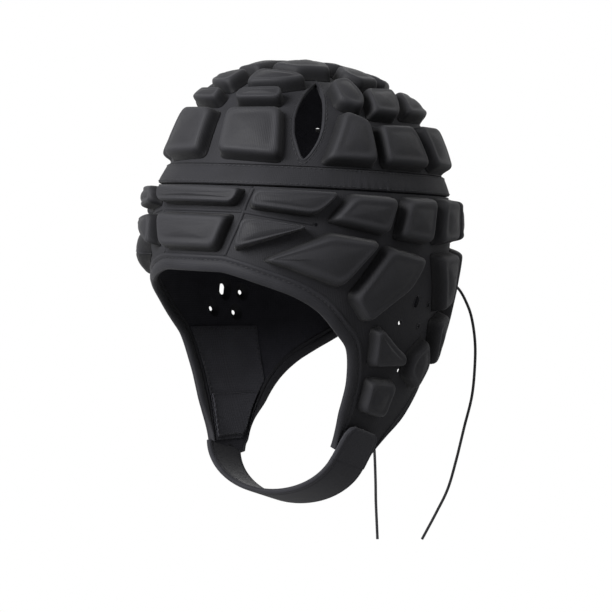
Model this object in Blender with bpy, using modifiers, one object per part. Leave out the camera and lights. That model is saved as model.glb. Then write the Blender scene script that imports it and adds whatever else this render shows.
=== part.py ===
"""Soft padded headguard: a fabric shell carrying separate foam pads, with a strap under the chin.

Metres. +Z up, -Y the wearer's front, +X the wearer's left. The origin is the top of the shell.
A place on the shell is an azimuth in degrees, from the front round by the wearer's left, and a
level, a share of LEVEL_DEPTH: 0 at the top, 1 at the seam of crown and ring, 2.6 at the chin seam.
"""
import math

import bmesh
import bpy
from mathutils import Matrix, Vector

# Shell sizes
HALF_WIDTH = 0.0805
FRONT_REACH = 0.106
REAR_REACH = 0.101
LEVEL_DEPTH = 0.100
BROW_RISE = 0.007
SHELL_THICKNESS = 0.003
SEAM_GAP = 0.0003
BAND_RAISE = 0.0008

# Pad sizes
PAD_HEIGHT = 0.0085
FLAP_PAD_HEIGHT = 0.0070
PAD_CROWN = 0.0012
PAD_SEAT = 0.0005
PAD_CORNER = 0.0040
PAD_DRAW_IN = 0.0007
PAD_SHOULDER = 0.0020
PAD_ROOT = 0.0012
PAD_POINT_PITCH = 0.013
WIDE_PAD_REACH = 0.019
POLAR_LEVEL_SHARE = 0.28

# Vents and ear holes
EAR_SLOT_LENGTH = 0.0076
EAR_SLOT_WIDTH = 0.0044
EAR_HOLE_WIDTH = 0.0032
REAR_VENT_WIDTH = 0.0036
CUT_REACH = 0.012

# Bindings
FACE_TAPE_WIDTH = 0.0086
NECK_TAPE_WIDTH = 0.0070
TAPE_THICKNESS = 0.0046
TAPE_GAP = 0.0004

# Chin strap
STRAP_WIDTH = 0.033
STRAP_THICKNESS = 0.0034
STRAP_DROP = 0.0255
STRAP_START_TURN = 14.0
STRAP_TILT = 19.3
STRAP_STEPS = 22
STRAP_FADE_SHARE = 0.35
TAB_RISE = 0.020
LOOP_PATCH_THICKNESS = 0.0012
LOOP_PATCH_WIDTH = 0.026
LOOP_PATCH_START = 0.0075
LOOP_PATCH_END = 0.0175
FLAP_END_RISE = 0.006
CUT_BOX = 0.120

# Rear lacing
TONGUE_THICKNESS = 0.0015
LACE_DIAMETER = 0.0018
LACE_LIFT = 0.0024
LACE_CROSSING_LIFT = 0.0047
LACE_POINT_PITCH = 0.0052

# Level, then depth as a share of LEVEL_DEPTH, then side, front and rear reach as shares
PROFILE_SHARES = (
    (0.00, 0.000, 0.000, 0.000, 0.000),
    (0.15, 0.018, 0.248, 0.226, 0.257),
    (0.30, 0.070, 0.453, 0.415, 0.475),
    (0.45, 0.155, 0.627, 0.566, 0.673),
    (0.60, 0.270, 0.764, 0.679, 0.822),
    (0.75, 0.410, 0.857, 0.750, 0.901),
    (0.90, 0.580, 0.925, 0.821, 0.955),
    (1.00, 0.710, 0.981, 0.906, 0.990),
    (1.15, 0.860, 0.994, 0.948, 1.000),
    (1.30, 1.010, 1.000, 0.981, 0.990),
    (1.50, 1.210, 0.981, 1.000, 0.946),
    (1.70, 1.410, 0.938, 0.972, 0.871),
    (1.90, 1.610, 0.882, 0.877, 0.792),
    (2.10, 1.810, 0.820, 0.811, 0.733),
    (2.35, 2.060, 0.720, 0.783, 0.668),
    (2.60, 2.310, 0.609, 0.792, 0.604),
    (2.80, 2.510, 0.522, 0.792, 0.564),
)
SECTION_EXPONENT = 2.15
SECTION_EXPONENT_GAIN = 0.45
SECTION_CHANGE_SHARE = 1.5
SECTION_CHANGE_SPAN_SHARE = 1.1
SECTION_NARROWING = 0.03
LOWER_DEPTH_SHARE = 0.29

# Panel edges: level, azimuth
FRONT_EDGE_SHARES = (
    (1.00, 24.0), (1.20, 20.5), (1.41, 15.5), (1.44, 24.0), (1.47, 31.0), (1.54, 46.0), (1.64, 58.0),
    (1.78, 67.0), (1.87, 72.0), (1.96, 74.0), (2.05, 75.0), (2.17, 76.0), (2.31, 76.0),
    (2.45, 74.5), (2.60, 73.0), (2.76, 72.0),
)
REAR_EDGE_SHARES = (
    (1.00, 168.0), (1.70, 168.0), (1.78, 165.0), (1.87, 156.0), (1.96, 144.0), (2.05, 132.0),
    (2.17, 119.0), (2.31, 107.0), (2.45, 97.0), (2.60, 90.0), (2.76, 86.5),
)
SIDE_COLUMNS = 12
BROW_COLUMNS = 6
EDGE_COLUMN_SHARE = 0.05
BROW_TOP_SHARE = 1.0
BROW_BOTTOM_SHARE = 1.41
SIDE_LEVEL_SHARES = tuple(sorted({level for level, _ in FRONT_EDGE_SHARES + REAR_EDGE_SHARES} | {1.02}))

CROWN_LEVEL_SHARES = (0.08, 0.18, 0.28, 0.38, 0.49, 0.60, 0.71, 0.81, 0.885, 0.90)
CROWN_COLUMNS = 36
BAND_LEVEL_SHARES = (0.906, 0.918, 0.95, 0.98, 0.992)

# Outlines in azimuth and level on the wearer's left, mirrored for the right
VENT_OUTLINE_SHARES = (
    (55.5, 0.30), (49.0, 0.36), (43.0, 0.46), (39.0, 0.58), (37.5, 0.70), (39.5, 0.80), (43.0, 0.87),
    (48.5, 0.80), (52.5, 0.70), (55.0, 0.58), (57.0, 0.46), (57.5, 0.36),
)
REAR_VENT_SHARES = (142.0, 0.607)
EAR_SLOT_SHARES = (96.5, 1.64)
EAR_SLOT_SLANT = 18.0
EAR_HOLE_SHARES = ((106.0, 1.66), (89.5, 1.765), (101.0, 1.79))

TOP_PAD_SHARES = (
    ((5, 0.455), (30, 0.44), (47, 0.39), (38, 0.335), (5, 0.295)),
    ((6, 0.245), (38, 0.29), (70, 0.275), (86, 0.145), (80, 0.035), (12, 0.035)),
    ((92, 0.165), (77, 0.305), (86, 0.385), (105, 0.375), (118, 0.205)),
    ((100, 0.035), (104, 0.13), (124, 0.175), (150, 0.20), (175, 0.20), (168, 0.035)),
    ((125, 0.225), (112, 0.375), (143, 0.38), (176, 0.38), (176, 0.245), (150, 0.245)),
)
REAR_CROWN_PAD_SHARES = (
    ((111, 0.425), (138, 0.43), (137, 0.585), (99, 0.60)),
    ((146, 0.43), (176, 0.43), (176.5, 0.575), (147, 0.58)),
    ((133, 0.65), (176.5, 0.63), (177, 0.875), (132, 0.885)),
)
CROWN_PAD_SHARES = {
    "crown_pad_front_lower": ((4.0, 0.87), (33.0, 0.885), (32.0, 0.60), (3.5, 0.61)),
    "crown_pad_front_upper": ((5.0, 0.575), (31.5, 0.565), (31.0, 0.475), (5.0, 0.49)),
    "crown_pad_vent_upper": ((60.5, 0.39), (76.0, 0.345), (78.0, 0.52), (73.0, 0.60), (61.0, 0.555)),
    "crown_pad_vent_lower": ((62.5, 0.60), (74.5, 0.655), (75.0, 0.885), (51.0, 0.885)),
    "crown_pad_side_upper": ((83.0, 0.43), (106.0, 0.42), (93.5, 0.62), (78.0, 0.615)),
    "crown_pad_side_lower": ((79.0, 0.675), (98.0, 0.66), (102.0, 0.885), (79.0, 0.885)),
    "crown_pad_rear_lower": ((103.0, 0.655), (128.0, 0.65), (127.5, 0.885), (106.0, 0.885)),
}
RING_PAD_SHARES = {
    "ring_pad_upper_1": ((25.5, 1.02), (58.0, 1.02), (49.0, 1.16), (23.5, 1.125)),
    "ring_pad_upper_2": ((62.5, 1.025), (82.0, 1.03), (77.5, 1.25), (54.5, 1.185)),
    "ring_pad_upper_3": ((86.0, 1.03), (101.0, 1.02), (97.0, 1.29), (82.0, 1.265)),
    "ring_pad_upper_4": ((105.0, 1.02), (122.0, 1.02), (119.0, 1.27), (101.5, 1.29)),
    "ring_pad_upper_5": ((126.0, 1.02), (158.0, 1.02), (157.0, 1.25), (123.0, 1.27)),
    "ring_pad_lower_1": ((22.0, 1.18), (47.0, 1.225), (19.5, 1.375)),
    "ring_pad_lower_2": ((31.0, 1.42), (55.0, 1.255), (75.0, 1.29), (60.5, 1.56), (41.5, 1.46)),
    "ring_pad_lower_3": ((78.0, 1.315), (95.0, 1.37), (88.5, 1.56), (72.5, 1.76), (65.0, 1.61)),
    "ring_pad_rear": ((102.0, 1.355), (122.0, 1.335), (125.0, 1.64), (111.0, 1.70)),
    "ring_pad_nape": ((127.0, 1.33), (154.0, 1.30), (150.0, 1.80), (129.5, 1.93)),
    "ring_pad_behind_ear": ((110.0, 1.755), (125.0, 1.70), (126.0, 1.97), (117.5, 2.04)),
}
FLAP_PAD_SHARES = {
    "flap_pad_front": ((77.0, 1.80), (80.0, 1.785), (92.5, 1.955), (92.5, 2.02), (77.5, 2.02)),
    "flap_pad_rear": ((95.5, 1.96), (106.0, 1.85), (114.0, 2.02), (106.0, 2.18), (94.5, 2.075)),
    "flap_pad_lower": ((78.0, 2.095), (91.0, 2.115), (90.0, 2.34), (78.0, 2.29)),
}
FRONT_PAD_SHARES = {
    "ring_pad_front_upper": ((-21.0, 1.02), (21.0, 1.02), (18.0, 1.115), (-18.0, 1.115)),
    "ring_pad_front_lower": ((-17.5, 1.175), (17.5, 1.175), (13.0, 1.375), (-13.0, 1.375)),
}
SEAM_AZIMUTH = 80.0
SEAM_LEVEL_SHARE = 2.62

# Rows of the tab: share of its rise, share of the strap's width
TAB_SHARES = ((0.0, 1.0), (0.3, 1.0), (0.55, 1.0), (0.75, 0.97), (0.90, 0.87), (1.0, 0.66))
STRAP_WIDTH_SHARES = (-0.5, -0.25, 0.0, 0.25, 0.5)

# Lacing: azimuth on the wearer's left and levels of the eyelets
EYELET_AZIMUTH = 170.8
EYELET_LEVEL_SHARES = (1.08, 1.21, 1.34, 1.47, 1.60)
LACE_LEAD_SHARES = (163.5, 1.615)
TONGUE_AZIMUTHS = (166.0, 171.0, 176.0, 180.0, 184.0, 189.0, 194.0)
TONGUE_END_SHARE = 1.77

# Routes of the free lace ends, each point in metres from the last point of the lacing
LACE_LEFT_ROUTE = (
    (0.0005, 0.0, -0.0001), (0.0052, -0.0003, -0.0007), (0.0100, 0.0026, 0.0010),
    (0.0149, 0.0056, 0.0042), (0.0202, 0.0054, 0.0065), (0.0254, 0.0024, 0.0055),
    (0.0320, -0.0006, -0.0003),
    (0.0376, -0.0018, -0.0102), (0.0408, -0.0022, -0.0247), (0.0414, -0.0026, -0.0397),
    (0.0400, -0.0036, -0.0607), (0.0346, -0.0042, -0.0817), (0.0296, -0.0058, -0.1035),
    (0.0239, -0.0066, -0.1222), (0.0161, -0.0082, -0.1384), (0.0067, -0.0102, -0.1562),
)
LACE_RIGHT_ROUTE = (
    (-0.0005, 0.0, -0.0001), (-0.0046, -0.0003, -0.0012), (-0.0072, -0.0004, -0.0046),
    (-0.0069, -0.0008, -0.0125), (-0.0028, -0.0016, -0.0247), (0.0041, -0.0030, -0.0417),
    (0.0111, -0.0046, -0.0597), (0.0166, -0.0064, -0.0797), (0.0198, -0.0078, -0.1007),
    (0.0216, -0.0088, -0.1207), (0.0224, -0.0094, -0.1357), (0.0234, -0.0098, -0.1487),
    (0.0244, -0.0102, -0.1607),
)

# Colour, roughness and metallic value
FINISHES = {
    "pad_fabric": ((0.026, 0.026, 0.029), 0.72, 0.0),
    "shell_fabric": ((0.022, 0.022, 0.025), 0.80, 0.0),
    "binding_tape": ((0.024, 0.024, 0.027), 0.62, 0.0),
    "strap_fabric": ((0.028, 0.028, 0.031), 0.70, 0.0),
    "hook_and_loop": ((0.018, 0.018, 0.019), 0.90, 0.0),
    "stretch_mesh": ((0.016, 0.016, 0.018), 0.85, 0.0),
    "lace_cord": ((0.015, 0.015, 0.016), 0.55, 0.0),
}


def clear_scene():
    for item in list(bpy.data.objects):
        bpy.data.objects.remove(item, do_unlink=True)


def make_collection(name):
    collection = bpy.data.collections.new(name)
    bpy.context.scene.collection.children.link(collection)
    return collection


def make_material(name):
    colour, roughness, metallic = FINISHES[name]
    material = bpy.data.materials.new(name)
    material.use_nodes = True
    shader = material.node_tree.nodes["Principled BSDF"]
    shader.inputs["Base Color"].default_value = (*colour, 1.0)
    shader.inputs["Roughness"].default_value = roughness
    shader.inputs["Metallic"].default_value = metallic
    material.diffuse_color = (*colour, 1.0)
    return material


def hermite(values, slopes, span, share):
    """Cubic between two values whose slopes are given."""
    (start, end), (out, into) = values, slopes
    square = share * share
    cube = square * share
    return (
        start * (2 * cube - 3 * square + 1)
        + out * span * (cube - 2 * square + share)
        + end * (3 * square - 2 * cube)
        + into * span * (cube - square)
    )


def profile_row(index):
    """One row of the profile; before the top it is the next row mirrored, so the top is smooth."""
    if index < 0:
        level, depth, *reaches = PROFILE_SHARES[-index]
        return (-level, depth, *(-reach for reach in reaches))
    if index >= len(PROFILE_SHARES):
        last, before = PROFILE_SHARES[-1], PROFILE_SHARES[-2]
        return tuple(2 * end - earlier for end, earlier in zip(last, before))
    return PROFILE_SHARES[index]


def profile_at(level):
    """Depth and the side, front and rear reach of the shell at one level, in metres."""
    index = 0
    while index < len(PROFILE_SHARES) - 2 and level > PROFILE_SHARES[index + 1][0]:
        index += 1
    before, start, end, after = (profile_row(index + step) for step in (-1, 0, 1, 2))
    span = end[0] - start[0]
    share = (level - start[0]) / span
    sizes = (LEVEL_DEPTH, HALF_WIDTH, FRONT_REACH, REAR_REACH)
    result = []
    for column, size in enumerate(sizes, start=1):
        slope_out = (end[column] - before[column]) / (end[0] - before[0])
        slope_in = (after[column] - start[column]) / (after[0] - start[0])
        values = (start[column], end[column])
        result.append(size * hermite(values, (slope_out, slope_in), span, share))
    return result


def signed_power(value, exponent):
    return math.copysign(abs(value) ** exponent, value)


def section_exponent(level):
    """Exponent of the shell's section, which gets squarer towards the cheek flaps."""
    lowering = (level - SECTION_CHANGE_SHARE) / SECTION_CHANGE_SPAN_SHARE
    return SECTION_EXPONENT + SECTION_EXPONENT_GAIN * min(max(lowering, 0.0), 1.2)


def base_point(azimuth, level):
    """Point of the shell's outer face: a superellipse section that narrows a little in front."""
    depth, side, front, rear = profile_at(level)
    exponent = 2.0 / section_exponent(level)
    sine = math.sin(math.radians(azimuth))
    cosine = math.cos(math.radians(azimuth))
    reach = front if cosine > 0 else rear
    across = side * signed_power(sine, exponent) * (1.0 - SECTION_NARROWING * cosine)
    along = -reach * signed_power(cosine, exponent)
    return Vector((across, along, -depth - along * BROW_RISE / REAR_REACH))


def azimuth_at(along, level):
    """Azimuth on the wearer's left of the shell's place at a distance along Y and a level."""
    _, _, front, rear = profile_at(level)
    reach = front if along < 0 else rear
    return math.degrees(math.acos(signed_power(-along / reach, section_exponent(level) / 2.0)))


def shell_normal(azimuth, level):
    step = 0.002
    low, high = max(level - step, step), level + step
    down = base_point(azimuth, high) - base_point(azimuth, low)
    turn = math.degrees(step)
    around = base_point(azimuth + turn, level) - base_point(azimuth - turn, level)
    normal = down.cross(around)
    outward = base_point(azimuth, level) + Vector((0.0, 0.0, LEVEL_DEPTH))
    if normal.dot(outward) < 0:
        normal.negate()
    return normal.normalized()


def shell_point(azimuth, level, offset=0.0):
    point = base_point(azimuth, level)
    return point + shell_normal(azimuth, level) * offset if offset else point


def edge_azimuth(edge, level):
    """Azimuth of a panel edge at a level, straight between the edge's own points."""
    if level <= edge[0][0]:
        return edge[0][1]
    for (low, first), (high, second) in zip(edge, edge[1:]):
        if level <= high:
            return first + (second - first) * (level - low) / (high - low)
    return edge[-1][1]


def mesh_from(name, points, faces, smooth_angle=40.0):
    mesh = bpy.data.meshes.new(name)
    mesh.from_pydata([tuple(point) for point in points], [], faces)
    shape = bmesh.new()
    shape.from_mesh(mesh)
    bmesh.ops.recalc_face_normals(shape, faces=shape.faces)
    shape.to_mesh(mesh)
    shape.free()
    mesh.shade_smooth()
    mesh.set_sharp_from_angle(angle=math.radians(smooth_angle))
    return mesh


def add_part(name, data, material, collection):
    part = bpy.data.objects.new(name, data)
    data.materials.clear()
    data.materials.append(material)
    collection.objects.link(part)
    return part


def mark_as_cutter(cutter):
    cutter.hide_render = True
    cutter.display_type = "WIRE"
    return cutter


def add_boolean(part, cutter, operation):
    modifier = part.modifiers.new(operation.lower(), "BOOLEAN")
    modifier.operation = operation
    modifier.object = cutter
    return modifier


def set_origin(part, place):
    """Moves the object's origin to a place and leaves its shape where it is."""
    part.data.transform(Matrix.Translation(-Vector(place)))
    part.location = place


def ring_faces(first, second, count, closed=True):
    faces = []
    for step in range(count if closed else count - 1):
        after = (step + 1) % count
        faces.append((first + step, first + after, second + after, second + step))
    return faces


def loft(rings, tip_first=None, tip_last=None):
    """Closed skin over rings of equal count, its ends closed by a tip point or one flat face."""
    count = len(rings[0])
    points = [point for ring in rings for point in ring]
    faces = []
    for index in range(len(rings) - 1):
        faces += ring_faces(index * count, (index + 1) * count, count)
    for tip, start in ((tip_first, 0), (tip_last, (len(rings) - 1) * count)):
        if tip is None:
            faces.append(tuple(range(start, start + count)))
            continue
        points.append(tip)
        apex = len(points) - 1
        faces += [(apex, start + step, start + (step + 1) % count) for step in range(count)]
    return points, faces


def add_sheet(name, rows, thickness, material, collection, closed=False, top=None, side=-1.0):
    """Open grid over rows of points, given its thickness on the inner side or on both."""
    count = len(rows[0])
    points = [point for row in rows for point in row]
    faces = []
    for index in range(len(rows) - 1):
        faces += ring_faces(index * count, (index + 1) * count, count, closed)
    if top is not None:
        points.append(top)
        faces += [(len(points) - 1, (step + 1) % count, step) for step in range(count)]
    sheet = add_part(name, mesh_from(name, points, faces), material, collection)
    outward = sum(
        face.normal.dot(face.center + Vector((0.0, 0.0, LEVEL_DEPTH))) for face in sheet.data.polygons
    )
    if outward < 0:
        sheet.data.flip_normals()
    solid = sheet.modifiers.new("thickness", "SOLIDIFY")
    solid.thickness = thickness
    solid.offset = side
    solid.use_even_offset = True
    return sheet


class PadPlan:
    """Flat plan of an outline on the shell, in metres, so corners round evenly."""

    def __init__(self, corners):
        self.polar = min(level for _, level in corners) < POLAR_LEVEL_SHARE
        self.mirror = 1.0
        flat = [self.to_plan(azimuth, level) for azimuth, level in corners]
        self.centre = sum(flat, Vector((0.0, 0.0))) / len(flat)
        step = 0.02
        across = self.surface(self.centre + Vector((step, 0.0))) - self.surface(self.centre)
        along = self.surface(self.centre + Vector((0.0, step))) - self.surface(self.centre)
        self.scale = Vector((across.length / step, along.length / step))
        self.corners = [self.to_metres(point) for point in flat]
        if self.area() < 0:
            self.corners.reverse()

    def to_plan(self, azimuth, level):
        """Plan numbers of a place: polar near the top, azimuth in radians and level elsewhere."""
        turn = math.radians(azimuth)
        if self.polar:
            return Vector((level * math.sin(turn), level * math.cos(turn)))
        return Vector((turn, level))

    def surface(self, plan, offset=0.0):
        if self.polar:
            azimuth = math.degrees(math.atan2(plan.x, plan.y))
            return shell_point(azimuth, max(plan.length, 0.004), offset)
        return shell_point(math.degrees(plan.x), plan.y, offset)

    def to_metres(self, plan):
        shift = plan - self.centre
        return Vector((shift.x * self.scale.x, shift.y * self.scale.y))

    def place(self, metres, offset):
        plan = Vector((metres.x / self.scale.x, metres.y / self.scale.y)) + self.centre
        point = self.surface(plan, offset)
        point.x *= self.mirror
        return point

    def area(self):
        pairs = zip(self.corners, self.corners[1:] + self.corners[:1])
        return sum(a.x * b.y - a.y * b.x for a, b in pairs) / 2

    def inset(self, distance):
        """Corners moved inwards so that every side moves by the distance."""
        moved = []
        count = len(self.corners)
        for index, corner in enumerate(self.corners):
            into = (corner - self.corners[index - 1]).normalized()
            out = (self.corners[(index + 1) % count] - corner).normalized()
            first = Vector((-into.y, into.x))
            second = Vector((-out.y, out.x))
            moved.append(corner + (first + second) * distance / max(1.0 + first.dot(second), 0.5))
        return moved

    def outline(self, distance, radius):
        """Outline inset by a distance: three points on each rounded corner, and points between."""
        corners = self.inset(distance)
        count = len(corners)
        points = []
        for index, corner in enumerate(corners):
            into = corners[index - 1] - corner
            out = corners[(index + 1) % count] - corner
            cut = min(radius, 0.45 * into.length, 0.45 * out.length)
            start = corner + into.normalized() * cut
            end = corner + out.normalized() * cut
            points += [start, (start + end) / 4 + corner / 2, end]
            following = corners[(index + 1) % count]
            ahead = corners[(index + 2) % count]
            next_cut = min(radius, 0.45 * out.length, 0.45 * (ahead - following).length)
            next_start = following - out.normalized() * next_cut
            side = self.corners[(index + 1) % count] - self.corners[index]
            side_points = max(round(side.length / PAD_POINT_PITCH) - 1, 1)
            for step in range(1, side_points + 1):
                points.append(end.lerp(next_start, step / (side_points + 1)))
        return points


def pad_rings(plan, height, root):
    """Rings of a pad from its foot to its crown: drawn in at the foot, round at the shoulder."""
    rows = (
        (root, PAD_DRAW_IN),
        (0.50 * height, 0.0),
        (0.86 * height, 0.45 * PAD_SHOULDER),
        (height, PAD_SHOULDER + 0.6 * PAD_CROWN),
    )
    rings = []
    for offset, distance in rows:
        outline = plan.outline(distance, PAD_CORNER)
        rings.append([plan.place(point, offset) for point in outline])
    return rings


def pad_mesh(name, corners, height, mirror=1.0):
    """A pad that stands on the shell, with its underside following the shell."""
    plan = PadPlan(corners)
    plan.mirror = mirror
    middle = Vector((0.0, 0.0))
    rings = pad_rings(plan, height, PAD_SEAT)
    foot = plan.outline(PAD_DRAW_IN, PAD_CORNER)
    if max(point.length for point in foot) > WIDE_PAD_REACH:
        rings.insert(0, [plan.place(point / 2, PAD_SEAT) for point in foot])
    under = plan.place(middle, PAD_SEAT)
    top = plan.place(middle, height + PAD_CROWN)
    points, faces = loft(rings, under, top)
    return mesh_from(name, points, faces)


def sunk_pad(corners, height, mirror):
    """A pad whose foot is sunk into the shell, to be joined to it."""
    plan = PadPlan(corners)
    plan.mirror = mirror
    middle = Vector((0.0, 0.0))
    rings = pad_rings(plan, height, -PAD_ROOT)
    return loft(rings, plan.place(middle, -PAD_ROOT), plan.place(middle, height + PAD_CROWN))


def through_cut(outline, mirror):
    """Prism along the shell's normals, through the shell, over an outline of azimuth and level."""
    rings = []
    for offset in (-CUT_REACH, CUT_REACH):
        ring = [shell_point(azimuth, level, offset) for azimuth, level in outline]
        rings.append([Vector((point.x * mirror, point.y, point.z)) for point in ring])
    return loft(rings)


def round_outline(centre, length, width, slant=0.0, steps=8):
    """Slot or round hole about a place on the shell, as azimuths and levels."""
    plan = PadPlan((centre, (centre[0] + 1, centre[1]), (centre[0], centre[1] + 0.01)))
    straight = (length - width) / 2
    places = []
    for step in range(steps):
        turn = 2 * math.pi * (step + 0.5) / steps
        along = math.sin(turn) * width / 2 + math.copysign(straight, math.sin(turn))
        across = math.cos(turn) * width / 2
        lean = math.radians(slant)
        shift_x = across * math.cos(lean) - along * math.sin(lean)
        shift_y = across * math.sin(lean) + along * math.cos(lean)
        azimuth = centre[0] + math.degrees(shift_x / plan.scale.x)
        places.append((azimuth, centre[1] + shift_y / plan.scale.y))
    return places


def joined_mesh(name, shapes):
    """Several closed shapes in one mesh."""
    points = []
    faces = []
    for shape_points, shape_faces in shapes:
        start = len(points)
        points += shape_points
        faces += [tuple(start + index for index in face) for face in shape_faces]
    return mesh_from(name, points, faces)


def make_crown(parts, cutters, materials):
    """Dome of the shell with its leaf vents, and the pads over the top that are moulded on it."""
    turn = 360.0 / CROWN_COLUMNS
    turns = [turn * step for step in range(CROWN_COLUMNS)]
    rows = [[shell_point(azimuth, level) for azimuth in turns] for level in CROWN_LEVEL_SHARES]
    crown = add_sheet(
        "crown_shell", rows, SHELL_THICKNESS, materials["pad_fabric"], parts, closed=True,
        top=shell_point(0.0, 0.0),
    )
    outlines = TOP_PAD_SHARES + REAR_CROWN_PAD_SHARES
    pads = [sunk_pad(corners, PAD_HEIGHT, side) for corners in outlines for side in (1.0, -1.0)]
    pad_form = add_part("top_pads", joined_mesh("top_pads", pads), materials["pad_fabric"], cutters)
    add_boolean(crown, mark_as_cutter(pad_form), "UNION")
    rear_hole = round_outline(REAR_VENT_SHARES, REAR_VENT_WIDTH, REAR_VENT_WIDTH)
    outlines = (VENT_OUTLINE_SHARES, rear_hole)
    cuts = [through_cut(outline, side) for outline in outlines for side in (1.0, -1.0)]
    vents = add_part("vent_cuts", joined_mesh("vent_cuts", cuts), materials["pad_fabric"], cutters)
    add_boolean(crown, mark_as_cutter(vents), "DIFFERENCE")


def make_band(parts, materials):
    """Smooth hoop between the crown and the ring."""
    turn = 360.0 / CROWN_COLUMNS
    rows = [
        [shell_point(turn * step, level, BAND_RAISE) for step in range(CROWN_COLUMNS)]
        for level in BAND_LEVEL_SHARES
    ]
    thickness = SHELL_THICKNESS + BAND_RAISE
    add_sheet("crown_band", rows, thickness, materials["shell_fabric"], parts, closed=True)


def seam_shift(azimuth, level):
    """Degrees of azimuth that open half a seam gap at a place."""
    step = 0.5
    run = (base_point(azimuth + step, level) - base_point(azimuth - step, level)).length
    return SEAM_GAP / run


def brow_edge(level):
    edge = edge_azimuth(FRONT_EDGE_SHARES, level)
    return edge - seam_shift(edge, level)


def column_shares(columns):
    """Even shares across a panel, with a narrow column along each edge that squares the seam."""
    even = [step / columns for step in range(columns + 1)]
    edge = EDGE_COLUMN_SHARE / columns * 2
    return [even[0], edge] + even[1:-1] + [1.0 - edge, even[-1]]


def make_brow_panel(parts, materials):
    levels = [level for level in SIDE_LEVEL_SHARES if level <= BROW_BOTTOM_SHARE]
    rows = []
    for level in levels:
        edge = brow_edge(level)
        shares = [2 * share - 1 for share in column_shares(BROW_COLUMNS)]
        rows.append([shell_point(edge * share, level) for share in shares])
    add_sheet("brow_panel", rows, SHELL_THICKNESS, materials["shell_fabric"], parts)


def side_rows(mirror):
    rows = []
    for level in SIDE_LEVEL_SHARES:
        first = edge_azimuth(FRONT_EDGE_SHARES, level)
        last = edge_azimuth(REAR_EDGE_SHARES, level)
        row = []
        for share in column_shares(SIDE_COLUMNS):
            row.append(shell_point(mirror * (first + (last - first) * share), level))
        rows.append(row)
    return rows


def strap_frame():
    """Seam point on the left flap and the directions along the strap's width and up the flap."""
    seam = shell_point(SEAM_AZIMUTH, SEAM_LEVEL_SHARE, -SHELL_THICKNESS / 2)
    tilt = math.radians(STRAP_TILT)
    up = Vector((0.0, math.sin(tilt), math.cos(tilt)))
    width = Vector((0.0, math.cos(tilt), -math.sin(tilt)))
    return seam, width, up


def flap_point(across, rise, offset):
    """Place over the left flap at a distance along the strap's width and up from the chin seam."""
    seam, width, up = strap_frame()
    target = seam + width * across + up * rise
    depth = -target.z - target.y * BROW_RISE / REAR_REACH
    level = depth / LEVEL_DEPTH + LOWER_DEPTH_SHARE
    return shell_point(azimuth_at(target.y, level), level, offset)


def strap_ellipse():
    """Half span and depth of the ellipse whose lower part is the strap's bow."""
    low, high = tab_offsets()
    left = flap_point(0.0, 0.0, (low + high) / 2).x
    right = -flap_point(0.0, 0.0, -SHELL_THICKNESS / 2).x
    turn = math.radians(STRAP_START_TURN)
    half_span = (left - right) / 2 / math.cos(turn)
    return (left + right) / 2, half_span, STRAP_DROP / (1.0 - math.sin(turn))


def strap_end_lean():
    """Angle from upright at which the strap leaves its seams."""
    _, half_span, depth = strap_ellipse()
    return math.atan(half_span * math.tan(math.radians(STRAP_START_TURN)) / depth)


def add_end_cutter(name, side, rise, cutters, material):
    """Box below the chin seam of one side, whose top face squares the end of what it cuts."""
    seam, width, up = strap_frame()
    bpy.ops.mesh.primitive_cube_add(size=CUT_BOX)
    box = bpy.context.object
    box.name = name
    box.data.name = name
    for collection in list(box.users_collection):
        collection.objects.unlink(box)
    cutters.objects.link(box)
    box.data.materials.append(material)
    tilt = Matrix.Rotation(-math.radians(STRAP_TILT), 3, "X")
    lean = Matrix.Rotation(side * strap_end_lean(), 3, "Y")
    box.rotation_euler = (tilt @ lean).to_euler()
    middle = Vector((side * seam.x, seam.y, seam.z)) + up * rise
    box.location = middle - (tilt @ lean) @ Vector((0.0, 0.0, CUT_BOX / 2))
    return mark_as_cutter(box)


def make_side_panel(side_name, mirror, end_cutter, parts, cutters, materials):
    """Side of the ring, ear zone and cheek flap in one panel, with the holes over the ear."""
    name = "side_panel_" + side_name
    panel = add_sheet(name, side_rows(mirror), SHELL_THICKNESS, materials["shell_fabric"], parts)
    outlines = [round_outline(EAR_SLOT_SHARES, EAR_SLOT_LENGTH, EAR_SLOT_WIDTH, EAR_SLOT_SLANT)]
    outlines += [round_outline(place, EAR_HOLE_WIDTH, EAR_HOLE_WIDTH) for place in EAR_HOLE_SHARES]
    cuts = [through_cut(outline, mirror) for outline in outlines]
    label = "ear_cuts_" + side_name
    holes = add_part(label, joined_mesh(label, cuts), materials["shell_fabric"], cutters)
    add_boolean(panel, mark_as_cutter(holes), "DIFFERENCE")
    add_boolean(panel, end_cutter, "DIFFERENCE")


def tape_ring(place, following, previous, mirror, inward, width):
    """Section of a binding tape: a rounded bar beyond the panel's edge, at its mid thickness."""
    azimuth, level = place
    normal = shell_normal(azimuth, level)
    point = shell_point(azimuth, level, -SHELL_THICKNESS / 2)
    run = (shell_point(*following) - shell_point(*previous)).normalized()
    beyond = run.cross(normal).normalized() * inward
    half = TAPE_THICKNESS / 2
    corner = 0.45 * half
    near, far = TAPE_GAP, TAPE_GAP + width
    section = (
        (near, -half + corner), (near + corner, -half), (far - corner, -half), (far, -half + corner),
        (far, half - corner), (far - corner, half), (near + corner, half), (near, half - corner),
    )
    ring = [point + beyond * across + normal * lift for across, lift in section]
    return [Vector((spot.x * mirror, spot.y, spot.z)) for spot in ring]


def tape_mesh(name, path, mirror, inward, width):
    rings = []
    for index, place in enumerate(path):
        following = path[min(index + 1, len(path) - 1)]
        previous = path[max(index - 1, 0)]
        rings.append(tape_ring(place, following, previous, mirror, inward, width))
    points, faces = loft(rings)
    return mesh_from(name, points, faces)


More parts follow.
